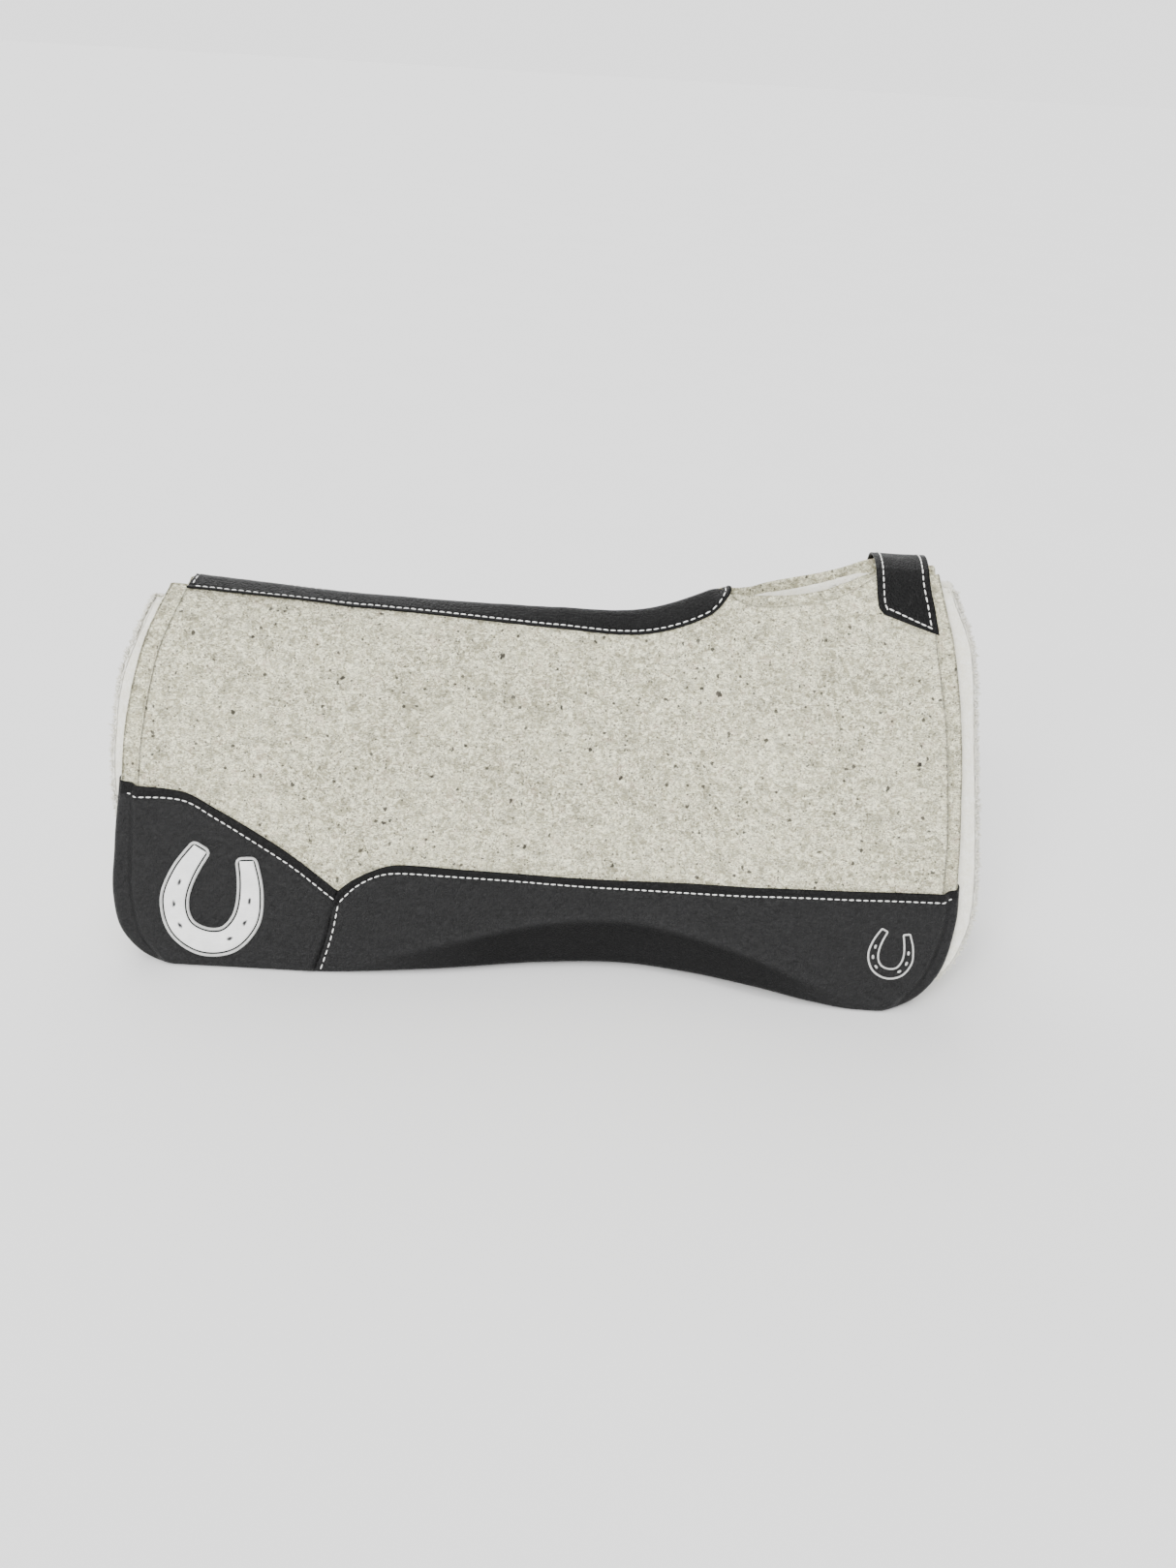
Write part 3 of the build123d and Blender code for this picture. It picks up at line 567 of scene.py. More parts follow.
def fleece_nodes(tree, shader, position):
    clumps = noise_node(tree, position, 120, 4, 0.65, 0.5)
    curls = noise_node(tree, position, 420, 3, 0.7, 1.2)
    body = mix(tree, ramp(tree, clumps, 0.3, 0.7), (0.90, 0.875, 0.75), (1.0, 0.99, 0.93))
    body = mix(tree, ramp(tree, curls, 0.3, 0.6, 0.3, 0), body, (0.66, 0.61, 0.46))
    tree.links.new(body, shader.inputs["Base Color"])
    shader.inputs["Sheen Weight"].default_value = 0.3
    shader.inputs["Sheen Roughness"].default_value = 0.5
    bump(tree, shader, combine(tree, clumps, curls), 0.0016, 0.9)


LEATHER_DARK, LEATHER_PLAIN = (0.0007, 0.0007, 0.0008), (0.0015, 0.0015, 0.0016)
# the paler colour is painted light: the look of leather where the key light falls on the flank
LEATHER_PAINTED_LIT = (0.017, 0.017, 0.0174)


def leather_nodes(tree, shader, position):
    warp = tree.nodes.new("ShaderNodeTexNoise")
    warp.inputs["Scale"].default_value = 300
    tree.links.new(position, warp.inputs["Vector"])
    moved = tree.nodes.new("ShaderNodeVectorMath")
    moved.operation = "ADD"
    tree.links.new(position, moved.inputs[0])
    tree.links.new(mix(tree, 0.004, (0, 0, 0), warp.outputs["Color"]), moved.inputs[1])
    cells = tree.nodes.new("ShaderNodeTexVoronoi")
    cells.feature = "SMOOTH_F1"
    cells.inputs["Scale"].default_value = 620
    cells.inputs["Smoothness"].default_value = 0.35
    tree.links.new(moved.outputs[0], cells.inputs["Vector"])
    wrinkles = noise_node(tree, scaled(tree, position, (1, 1, 1.8)), 110, 5, 0.65, 1.5)
    broad = noise_node(tree, position, 30, 3, 0.6)
    tone = mix(tree, ramp(tree, broad, 0.3, 0.7), LEATHER_DARK, LEATHER_PLAIN)
    # painted light and shade: where the mask is high the leather takes the paler painted lit colour, and where
    # it is low the plain dark tone is left as painted shade
    painted_lit = mix(tree, ramp(tree, wrinkles, 0.35, 0.65, 0.45, 1), tone, LEATHER_PAINTED_LIT)
    lit = tree.nodes.new("ShaderNodeAttribute")
    lit.attribute_name = "mask"
    tree.links.new(mix(tree, lit.outputs["Fac"], tone, painted_lit), shader.inputs["Base Color"])
    tree.links.new(ramp(tree, wrinkles, 0.3, 0.7, 0.34, 0.5), shader.inputs["Roughness"])
    shader.inputs["Specular IOR Level"].default_value = 0.16
    height = combine(tree, combine(tree, cells.outputs["Distance"], -1.5, "MULTIPLY"),
                     combine(tree, wrinkles, 1.5, "MULTIPLY"))
    bump(tree, shader, height, 0.0007, 0.9)


def thread_nodes(tree, shader, position):
    twist = noise_node(tree, position, 1500, 2, 0.6)
    body = mix(tree, ramp(tree, twist, 0.3, 0.7), (0.72, 0.72, 0.69), (0.90, 0.90, 0.88))
    tree.links.new(body, shader.inputs["Base Color"])
    bump(tree, shader, twist, 0.0003, 0.6)


def satin_nodes(tree, shader, position):
    uv = tree.nodes.new("ShaderNodeTexCoord").outputs["UV"]
    lines = tree.nodes.new("ShaderNodeTexWave")
    lines.inputs["Scale"].default_value = 1.0
    lines.inputs["Distortion"].default_value = 0.6
    lines.inputs["Detail Scale"].default_value = 1.0
    tree.links.new(uv, lines.inputs["Vector"])
    dirt = noise_node(tree, position, 160, 3, 0.6)
    body = mix(tree, ramp(tree, dirt, 0.35, 0.7), (0.72, 0.72, 0.70), (0.90, 0.90, 0.89))
    body = mix(tree, ramp(tree, lines.outputs["Fac"], 0, 0.35, 0.35, 0), body, (0.50, 0.50, 0.49))
    tree.links.new(body, shader.inputs["Base Color"])
    bump(tree, shader, lines.outputs["Fac"], 0.0004, 0.7)


def patch_nodes(tree, shader, position):
    attribute = tree.nodes.new("ShaderNodeAttribute")
    attribute.attribute_name = "mask"
    grain = noise_node(tree, scaled(tree, position, (0.25, 1, 1)), 900, 3, 0.6, 0.4)
    cloudy = noise_node(tree, position, 70, 3, 0.6)
    body = mix(tree, ramp(tree, cloudy, 0.3, 0.7), (0.74, 0.74, 0.73), (0.88, 0.88, 0.87))
    body = mix(tree, ramp(tree, grain, 0.3, 0.6, 0.25, 0), body, (0.52, 0.52, 0.51))
    body = mix(tree, attribute.outputs["Fac"], body, (0.012, 0.012, 0.013))
    tree.links.new(body, shader.inputs["Base Color"])
    bump(tree, shader, grain, 0.0004, 0.6)


FELT = material("wool_felt", felt_nodes, 0.95, (0.57, 0.54, 0.46))
PILE = material("fleece", fleece_nodes, 0.95, (0.84, 0.83, 0.70))
LEATHER = material("pebbled_leather", leather_nodes, 0.5, (0.02, 0.02, 0.021))
THREAD = material("white_thread", thread_nodes, 0.6, (0.85, 0.85, 0.83))
SATIN = material("satin_thread", satin_nodes, 0.5, (0.86, 0.86, 0.85))
PATCH = material("emblem_cloth", patch_nodes, 0.7, (0.82, 0.82, 0.81))

SIDES = (("right", False), ("left", True))


def bend(obj, slot_name, *nodes):
    """A piece that crosses the fold and stands for those CAD nodes."""
    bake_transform(obj)
    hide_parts(*nodes)
    return obj


def keep(obj, side, slot_name, *nodes):
    """A piece that moves with one side and stands for those CAD nodes."""
    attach(obj, side + "_side")
    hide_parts(*nodes)
    return obj


# ---------------------------------------------------------------- felts and fleece
def felt_surface(points, seed):
    """How far the felt's surface stands out, in millimetres: broad waves and a fine nap."""
    return 0.45 * layered(points, 70, seed, 2) + 0.22 * layered(points, 7, seed + 9, 3)


def fleece_surface(points, seed):
    """How far the fleece's surface stands out, in millimetres: clumps and curls."""
    return 1.3 * layered(points, 30, seed, 2) + 1.8 * layered(points, 9, seed + 5, 3)


# edge profiles: share of the way through the layer, and how far the edge is set in there
CUT_EDGE = [(0, 1.3), (0.05, 0.45), (0.18, 0.05), (0.5, 0), (0.82, 0.05), (0.95, 0.45), (1, 1.3)]
PILE_EDGE = [(0, 3.0), (0.06, 2.0), (0.18, 0.7), (0.35, 0.1), (0.55, 0), (0.72, 0.5), (0.87, 1.8), (0.96, 3.6),
             (1, 5.5)]
# name, depths, outline, rim, points across and along, edge profile, surface, material, slot
LAYERS = [
    ("outer_felt", (0.0, 7.6), OUTER_RUN, OUTER_RIM, (240, 110), CUT_EDGE, felt_surface, FELT, "felt"),
    ("inner_felt", (8.0, 19.6), INNER_RUN, INNER_RIM, (240, 110), CUT_EDGE, felt_surface, FELT, "felt"),
    ("fleece_lining", (20.2, 32.0), FLEECE_RUN, FLEECE_RIM, (330, 150), PILE_EDGE, fleece_surface, PILE,
     "fleece"),
]
for side_number, (side, left) in enumerate(SIDES):
    for number, (name, depths, run, rim, counts, profile, rough, look, slot_name) in enumerate(LAYERS):
        seed = 31 * side_number + 7 * number
        soft = panel(f"{side}_{name}_soft", depths, run, rim, counts, profile, rough, look, left, seed)
        bend(soft, slot_name, f"{side}_{name}")


def tufts(points, normals, count, length, thick, seed):
    """Short curled wisps of fleece that grow from a surface: points and faces."""
    rng = np.random.default_rng(seed)
    pick = rng.integers(0, len(points), count)
    root, out = points[pick] + rng.normal(0, 0.8, (count, 3)), normals[pick]
    sway = rng.normal(0, 1, (count, 3))
    sway -= out * (sway * out).sum(1)[:, None]
    sway /= np.linalg.norm(sway, axis=1)[:, None]
    third = np.cross(out, sway)
    reach = length * rng.uniform(0.45, 1.0, count)
    lean, curl = rng.uniform(0.2, 0.9, count), rng.uniform(-0.7, 0.7, count)
    rings = []
    for k, width in ((0, 1.0), (1, 1.15), (2, 0.8), (3, 0.12)):
        t = k / 3
        centre = (root + out * (reach * (t - 0.32 * lean * t * t) - 0.8)[:, None]
                  + sway * (reach * lean * t * t * 0.8)[:, None] + third * (reach * curl * t * t)[:, None])
        for turn in (0, 2 * pi / 3, 4 * pi / 3):
            rings.append(centre + (sway * cos(turn) + third * sin(turn)) * (thick * width))
    found = np.stack(rings, axis=1).reshape(-1, 3)
    base = np.array([(3 * k + a, 3 * k + (a + 1) % 3, 3 * k + 3 + (a + 1) % 3, 3 * k + 3 + a)
                     for k in range(3) for a in range(3)])
    faces = (base[None] + 12 * np.arange(count)[:, None, None]).reshape(-1, 4)
    return found, faces.tolist()


EDGE_TUFTS, FACE_TUFTS = 13000, 16000
COAT_DEPTH, COAT_COUNTS = 26.0, (900, 400)
# depth of a row of wisps on the edge, how far in it is set, and how far it turns towards the inner face
COAT_ROWS = [(21.4, 1.0, -0.5), (23.5, 0.6, -0.25), (26.5, 0.5, 0.1), (29.3, 1.8, 0.5), (31.0, 4.2, 0.8)]


def fleece_coat(name, left, seed):
    """Wisps over the fleece's edge and its inner face."""
    run, rim = LAYERS[2][2:4]
    loop = joined(loop_sides(run, rim, COAT_DEPTH, COAT_COUNTS))
    places, ways = [], []
    for depth, amount, turn in COAT_ROWS:
        line = inset(loop, amount)
        place, out = on_skin(line, depth)
        outward = np.cross(np.roll(place, -1, 0) - np.roll(place, 1, 0), -out)
        outward /= np.linalg.norm(outward, axis=1)[:, None]
        shown = line[:, 1] > 4
        places.append(place[shown])
        ways.append((outward - out * turn)[shown])
    edge_points, edge_normals = np.concatenate(places), np.concatenate(ways)
    if (edge_normals * (edge_points - edge_points.mean(0))).sum() < 0:
        edge_normals = -edge_normals
    edge_normals /= np.linalg.norm(edge_normals, axis=1)[:, None]
    edge_points[:, 2] += rim_rise(edge_points)
    grid = coons(*split(inset(loop, 5.0), COAT_COUNTS))[::3, ::3].reshape(-1, 2)
    face_points, face_out = on_skin(grid, 31.6)
    on_edge, edge_faces = tufts(edge_points, edge_normals, EDGE_TUFTS, 5.5, 0.8, seed)
    on_face, face_faces = tufts(face_points, -face_out, FACE_TUFTS, 4.5, 0.75, seed + 1)
    points = np.concatenate([on_edge, on_face])
    points[:, 2] = np.maximum(points[:, 2], 0.8)
    faces = edge_faces + (np.array(face_faces) + len(on_edge)).tolist()
    return new_object(name, points, faces, PILE, left)


for side_number, (side, left) in enumerate(SIDES):
    wisps = fleece_coat(f"{side}_fleece_lining_wisps", left, 400 + side_number)
    bend(wisps, "fleece", f"{side}_fleece_lining")


# ---------------------------------------------------------------- wear leathers
def moved_run(run, amount):
    """An open run moved sideways, outwards where amount is positive."""
    step = np.gradient(run, axis=0)
    step = step / np.maximum(np.linalg.norm(step, axis=1), 1e-9)[:, None]
    return run + np.stack([step[:, 1], -step[:, 0]], axis=1) * amount


EDGE_RUN = evenly(moved_run(evenly(INNER_RUN, 900), WRAP), 900)
ROUND = 7.0  # radius of the leather where it turns round the felts' edge
LEATHER_DEPTH, STEP_DOWN = -2.4, 8.0  # on the outer felt, and how far it steps down past that felt's edge
HIDE = 1.7  # thickness
WRAP_END = 19.4  # depth to which the leather goes round the felts' edge
# rows of points round that edge: share of the way, and how far in from the edge
WRAP_ROWS = [(0.2, 0), (0.4, 0), (0.6, 0), (0.8, 0), (0.95, 0.5), (1.0, 2.0), (1.02, 5.0)]
SEAM_LINE = curve(LEATHER_SEAM, count=60)
LAP = 1.6  # how far the front leather laps over the rear one
REAR_ROW = [(-388, 150.5), (-334, 150.5), (-303, 136), (-262, 114), (-229, 95), (-190.5, 68)]
FRONT_ROW = [(-186.3, 66), (-173, 79.5), (-156, 89.5), (-138, 94), (-90, 92.5), (22, 84.5), (78, 83),
             (145, 87), (219, 98), (312, 102), (381, 103.5)]
SEAM_ROW = [(-186.8, 64), (-192, 35), (-201, 4)]
ROWS = {"rear": REAR_ROW, "front": FRONT_ROW, "seam": SEAM_ROW}
ROW_LINES = {key: curve(row, count=160) for key, row in ROWS.items()}


def crease_down(x):
    """How far down the surface the crease is, in the middle of the turn into the curl."""
    crease = np.interp(x, TABLE_X, SECTION_TABLE[3])
    return down_at_z(x, crease, 0)


def curl_share(x):
    """How strongly the lower edge curls in at x, from 0 to 1."""
    return smooth(np.interp(x, TABLE_X, SECTION_TABLE[4]) / 16)


def leather_points(xz, which, seed, wrap_depth=None, turned_in=0.0):
    """Points of the wear leather's outer face for (x, z) points seen from the side.

    With wrap_depth they lie round the felts' edge, that share of the way in to that depth.
    """
    edge = distance_to(xz, EDGE_RUN)
    outer = distance_to(xz, OUTER_RUN)
    apart = edge - WRAP - outer
    base = LEATHER_DEPTH + STEP_DOWN * smooth((1 - outer) / 10) * smooth(apart / 14)
    if wrap_depth is None:
        turn = np.clip(ROUND - edge, 0, ROUND)
        depth = base + ROUND - np.sqrt(np.maximum(ROUND**2 - turn**2, 0))
    else:
        depth = base + ROUND + (wrap_depth - base - ROUND) * turned_in
    down = down_at_z(xz[:, 0], xz[:, 1], depth)
    points, normal = on_skin(np.stack([xz[:, 0], down], axis=1), depth)
    # slack and wrinkles, a furrow along the stitches with puckered leather beside it
    shape = np.stack([xz[:, 0], xz[:, 1] * 1.6, xz[:, 0] * 0], axis=1)
    lift = 0.7 * layered(shape, 55, seed, 2) + 0.35 * np.abs(layered(shape, 16, seed + 3, 3)) - 0.1
    own_row = np.abs(distance_to(xz, ROW_LINES[which]))
    lift += 0.8 * hump(own_row - 5.0, 2.6) - 0.7 * hump(own_row, 1.8)
    lift += 0.5 * hump(own_row - 14, 8.0) * (1 + 0.5 * noise(shape, 24, seed + 8))
    # the front leather laps over the rear one at their seam
    seam_gap = np.abs(distance_to(xz, SEAM_LINE))
    pucker = noise(np.stack([xz[:, 0] * 0.5, xz[:, 1], xz[:, 0] * 0], axis=1), 6.5, seed + 6)
    if which == "rear":
        allowance = smooth((15 - seam_gap) / 6) * smooth((seam_gap - 1.5) / 5)
        lift += 2.4 * allowance * (1 + 0.6 * pucker) * smooth((64 - xz[:, 1]) / 14)
        lift -= 1.6 * smooth((4 - seam_gap) / 4)
    else:
        row = np.abs(distance_to(xz, ROW_LINES["seam"]))
        lift += 1.0 * smooth((5 - seam_gap) / 5) - 0.9 * hump(row, 2.2) + 0.6 * pucker * hump(row, 9)
    below = down - crease_down(xz[:, 0])
    lift += 1.6 * curl_share(xz[:, 0]) * hump(below, 7.5)
    lift *= smooth((edge + 2) / 12) * 0.85 + 0.15
    return points + normal * lift[:, None]


def facing(function, xz):
    """Straight out of a surface that function gives for (x, z) points."""
    step = 0.8
    across = function(xz + (step, 0)) - function(xz - (step, 0))
    upward = function(xz + (0, step)) - function(xz - (0, step))
    normal = np.cross(across, upward)
    return normal / np.linalg.norm(normal, axis=1)[:, None]


def cut_run(first, last):
    """The part of the leather's edge from nearest one point to nearest another."""
    i, j = [int(np.hypot(*(EDGE_RUN - p).T).argmin()) for p in (first, last)]
    return EDGE_RUN[i : j + 1]


SEAM_FOOT = (-205, 0.2)  # where the seam between the leathers meets their lower edge


def thickened(obj, thickness):
    """A single face given that thickness, inwards."""
    thick = obj.modifiers.new("thickness", "SOLIDIFY")
    thick.thickness = thickness * MM
    thick.offset = -1
    return obj


def wear_leather(name, which, left, seed):
    """One side's rear or front wear leather, down its face and round the felts' edge."""
    seam_points = [*LEATHER_SEAM[:2], SEAM_FOOT]
    if which == "rear":
        seam = curve(seam_points, count=60)
        start, corner = (-396, 161), (-392, 26)
        rear, bottom = cut_run(start, corner), cut_run(corner, (-205, 0))
        top = curve([tuple(rear[0]), *REAR_LEATHER_TOP], count=200)
        bottom = np.concatenate([bottom, seam[-1:]])
        sides = (evenly(top, 130), evenly(bottom, 130), evenly(rear, 100), evenly(seam, 100))
        wrapped = np.concatenate([sides[2], sides[1][1:]])
    else:
        seam = curve([(x - LAP, z) for x, z in seam_points], count=60)
        corner, end = (375, 30), (387, 112.5)
        bottom, front = cut_run((-204, 0), corner), cut_run(corner, end)
        start = (FRONT_LEATHER_TOP[0][0] - LAP, FRONT_LEATHER_TOP[0][1])
        top = curve([start, *FRONT_LEATHER_TOP[1:-1], tuple(front[-1])], count=300)
        bottom = np.concatenate([seam[-1:], bottom])
        sides = (evenly(top, 330), evenly(bottom, 330), evenly(seam, 62), evenly(front[::-1], 62))
        wrapped = np.concatenate([sides[1], sides[3][::-1][1:]])
    grid = coons(*sides)
    rows, cols = grid.shape[:2]
    flat = grid.reshape(-1, 2)
    points = [leather_points(flat, which, seed)]
    faces = grid_faces(rows, cols)
    index = np.arange(rows * cols).reshape(rows, cols)
    if which == "rear":
        low = np.concatenate([index[:, 0], index[-1, 1:]])
    else:
        low = np.concatenate([index[-1, :], index[::-1, -1][1:]])
    inwards = moved_run(wrapped, -1) - wrapped
    for share, inset_by in WRAP_ROWS:
        high = np.arange(len(wrapped)) + sum(len(p) for p in points)
        points.append(leather_points(wrapped + inwards * inset_by, which, seed, WRAP_END, share))
        faces += strip_faces(low, high)
        low = high
    # the mask paints light and shade: the flank down to the crease takes a painted lit colour, the curl below
    # the crease is left dark as painted shade, a faint painted highlight runs along the crease, and the band
    # above the stitches is left at the plain dark tone
    flat = np.concatenate([flat] + [wrapped] * len(WRAP_ROWS))
    below = down_at_z(flat[:, 0], flat[:, 1], 0) - crease_down(flat[:, 0])
    curl = curl_share(flat[:, 0])
    lit = 1 - smooth((below + 3) / 8) * curl + 0.25 * curl * hump(below + 2, 4)
    lit *= 1 - 0.85 * smooth((distance_to(flat, ROW_LINES[which]) + 1) / 3)
    faces = [face[::-1] for face in faces]
    obj = new_object(name, np.concatenate(points), faces, LEATHER, left, mask=lit * 0.8)
    return thickened(obj, HIDE)


def stitch_mesh(name, places, along, normal, left, size=(5.4, 1.3, 1.15), sink=0.15):
    """Separate stitches: each is a short twisted strand whose ends dip into the leather."""
    rings, sides = 9, 8
    u = np.linspace(-1, 1, rings)
    phi = np.linspace(0, 2 * pi, sides, endpoint=False)
    body = np.sqrt(np.clip(1 - np.abs(u) ** 3.2, 0.02, 1))
    uu, pp = np.meshgrid(u, phi, indexing="ij")
    ply = 1 + 0.16 * np.cos(2 * pp + 7 * uu)
    shape = np.stack([
        uu * size[0] / 2,
        np.cos(pp) * size[1] / 2 * body[:, None] * ply,
        np.sin(pp) * size[2] / 2 * body[:, None] * ply + 0.45 * (1 - uu**2) - sink,
    ], axis=-1).reshape(-1, 3)
    faces, points = [], []
    for k, (place, run, out) in enumerate(zip(places, along, normal)):
        run = run - out * np.dot(run, out)
        run = run / np.linalg.norm(run)
        side_way = np.cross(out, run)
        wobble = noise(place[None] * 3.7 + k, 5, 3)[0]
        run = run + side_way * 0.07 * wobble
        points.append(place + shape @ np.stack([run, side_way, out]))
        start = k * rings * sides
        faces += tube_faces(rings, sides, start)
        first, last = np.arange(sides) + start, np.arange(sides) + start + (rings - 1) * sides
        faces += [first[::-1].tolist(), last.tolist()]
    return new_object(name, np.concatenate(points), faces, THREAD, left)


STITCH_PITCH = 6.6


def row_places(line, at, upwards=False):
    """Where a row of stitches sits along a line on the surface at(points) gives: place, run and way out."""
    count = max(2, round(np.linalg.norm(np.diff(line, axis=0), axis=1).sum() / STITCH_PITCH))
    ends = evenly(line, count + 1)
    middle = (ends[1:] + ends[:-1]) / 2
    out = facing(at, middle)
    if upwards:
        out *= np.sign(out[:, 2:3])
    return at(middle), at(ends[1:]) - at(ends[:-1]), out


def rows_over(lines, at):
    """Several rows of stitches on a leather that lies over the crest, as one row."""
    found = [row_places(line, at, upwards=True) for line in lines]
    return [np.concatenate(parts) for parts in zip(*found)]


for side_number, (side, left) in enumerate(SIDES):
    for which, row_names in (("rear", ("rear",)), ("front", ("front", "seam"))):
        seed = 60 + 10 * side_number + (which == "front")
        hide = wear_leather(f"{side}_{which}_wear_leather_soft", which, left, seed)
        keep(hide, side, "wear_leather", f"{side}_{which}_wear_leather")
        for row in row_names:
            node = "leather_seam_stitches" if row == "seam" else f"{row}_leather_stitches"
            places = row_places(ROW_LINES[row], partial(leather_points, which=which, seed=seed))
            sewn = stitch_mesh(f"{side}_{node}_thread", *places, left)
            keep(sewn, side, "stitch_thread", f"{side}_{node}")

# ---------------------------------------------------------------- emblems: a plain horseshoe
SHOE_OUTER = [(0, -1), (0.62, -0.78), (0.93, -0.22), (0.86, 0.38), (0.6, 0.95)]
SHOE_INNER = [(0, -0.6), (0.34, -0.5), (0.52, -0.16), (0.5, 0.32), (0.33, 0.87)]
NAILS = [(0.5, -0.62, 38), (0.72, -0.25, 75), (0.71, 0.18, 98)]  # place on one half, and turn in degrees
# half height, middle (x, z) and tilt in degrees
BIG_SHOE = (47.0, (-303, 62), -12)
SMALL_SHOE = (22.0, (326, 55), -8)


def shoe_edges(count):
    """The horseshoe's outer and inner edge, from heel to heel."""
    outer = curve(SHOE_OUTER, (1, 0), (-0.45, 0.9), count)
    inner = curve(SHOE_INNER, (1, 0), (-0.37, 0.93), count)
    return [np.concatenate([(edge * (-1, 1))[::-1][:-1], edge]) for edge in (outer, inner)]


def placed(points, shoe):
    """Points of the unit horseshoe where that horseshoe lies, as (x, z) points."""
    size, centre, tilt = shoe
    turn = np.array([[cos(radians(tilt)), sin(radians(tilt))], [-sin(radians(tilt)), cos(radians(tilt))]])
    return points * size @ turn + centre


def on_leather(xz, which, seed, lift):
    """Points that far above the wear leather's surface."""
    at = partial(leather_points, which=which, seed=seed)
    return at(xz) + facing(at, xz) * lift[:, None]


def each_nail(nails):
    """Place and turn of every nail, on both halves of the horseshoe."""
    return [(way * x, z, radians(way * tilt)) for x, z, tilt in nails for way in (-1, 1)]


def emblem_patch(name, seed, left):
    """The large horseshoe's cloth, a thin domed piece with a dark dent at each nail."""
    outer, inner = shoe_edges(70)
    share = np.linspace(0, 1, 22)
    grid = inner[None] * (1 - share[:, None, None]) + outer[None] * share[:, None, None]
    rows, cols = grid.shape[:2]
    flat = grid.reshape(-1, 2)
    mask = np.zeros(len(flat))
    for x, z, turn in each_nail(NAILS):
        d = flat - (x, z)
        along = d[:, 0] * cos(turn) + d[:, 1] * sin(turn)
        across = -d[:, 0] * sin(turn) + d[:, 1] * cos(turn)
        mask = np.maximum(mask, smooth((1 - np.hypot(along / 0.07, across / 0.036)) * 5))
    edge = np.minimum(share, 1 - share)[:, None].repeat(cols, 1).reshape(-1)
    lift = 0.5 + 0.7 * smooth(edge / 0.12) - 0.8 * mask
    places = placed(flat, BIG_SHOE)
    points = [on_leather(places, "rear", seed, lift), on_leather(places, "rear", seed, lift * 0 + 0.1)]
    under = rows * cols
    loop = loop_index(rows, cols)[::-1]
    loop = np.append(loop, loop[0])
    faces = grid_faces(rows, cols) + grid_faces(rows, cols, under, True)
    faces += strip_faces(loop, loop + under, True)
    mask = np.concatenate([mask, mask * 0])
    return new_object(name, np.concatenate(points), faces, PATCH, left, mask=mask)


def satin_line(name, shoe, width, height, away, which, seed, left, nails=()):
    """A raised line of satin stitching round the horseshoe, that far outside its edge, and round the nails."""
    outer, inner = shoe_edges(60)
    loop = np.concatenate([outer, inner[::-1]])
    loop = evenly(np.concatenate([loop, loop[:1]]), 321)[:-1]
    for _ in range(2):
        loop = (np.roll(loop, 1, 0) + loop + np.roll(loop, -1, 0)) / 3
    loops = [(placed(loop, shoe), away)]
    around = np.linspace(0, 2 * pi, 17)[:-1]
    for x, z, turn in each_nail(nails):
        ring = np.stack([np.cos(around) * 0.05, np.sin(around) * 0.012], axis=1)
        ring = ring @ np.array([[cos(turn), sin(turn)], [-sin(turn), cos(turn)]]) + (x, z)
        loops.append((placed(ring, shoe), 0.0))
    points, faces, uv = [], [], []
    steps = np.linspace(-1, 1, 7)
    for line, out in loops:
        faces += tube_faces(len(steps), len(line), sum(len(p) for p in points))
        run = np.roll(line, -1, 0) - np.roll(line, 1, 0)
        run = run / np.linalg.norm(run, axis=1)[:, None]
        side_way = np.stack([run[:, 1], -run[:, 0]], axis=1)
        if ((line.mean(0) - line) * side_way).sum() > 0:
            side_way = -side_way
        travelled = np.concatenate([[0], np.cumsum(np.linalg.norm(np.diff(line, axis=0), axis=1))])
        for step in steps:
            xz = line + side_way * (out + step * width / 2)
            lift = np.full(len(line), 0.15 + height * np.sqrt(max(0, 1 - step**2 * 0.97)))
            points.append(on_leather(xz, which, seed, lift))
            uv.append(np.stack([travelled * 2.2, np.full(len(line), step)], axis=1))
    return new_object(name, np.concatenate(points), faces, SATIN, left, uv=np.concatenate(uv))


for side_number, (side, left) in enumerate(SIDES):
    seed = 60 + 10 * side_number
    keep(emblem_patch(f"{side}_rear_emblem_cloth", seed, left), side, "emblem_white",
         f"{side}_rear_emblem_patch")
    edge = satin_line(f"{side}_rear_emblem_satin", BIG_SHOE, 2.5, 1.4, 2.6, "rear", seed, left)
    keep(edge, side, "satin_thread", f"{side}_rear_emblem_edging")
    small = satin_line(f"{side}_front_emblem_satin", SMALL_SHOE, 1.7, 0.9, 0.0, "front", seed + 1, left,
                       NAILS)
    keep(small, side, "satin_thread", f"{side}_front_emblem_embroidery")

# ---------------------------------------------------------------- spine leather and wither strap
TRIM_DEPTH, TRIM_HIDE = -2.7, 2.0
SPINE_EDGE = [(-341, -21), (-250, -19.5), (-150, -19), (-60, -20.5), (60, -21.5), (120, -23), (141, -22.4),
              (150, -19.5), (156, -14), (158, -7), (158.3, -0.5)]
SPINE_LINE = curve(SPINE_EDGE, count=320)
SPINE_LINE = np.stack([SPINE_LINE[:, 0], down_at_y(*SPINE_LINE.T, TRIM_DEPTH)], axis=1)
RIDGE = 5.0  # half the width over which the leather rounds the ridge
GAP, CROWN = 28.0, 5.6  # half the width over which the strap bridges the gap, and its rise there
STITCH_INSET = 3.7  # from the spine leather's edge to its row of stitches


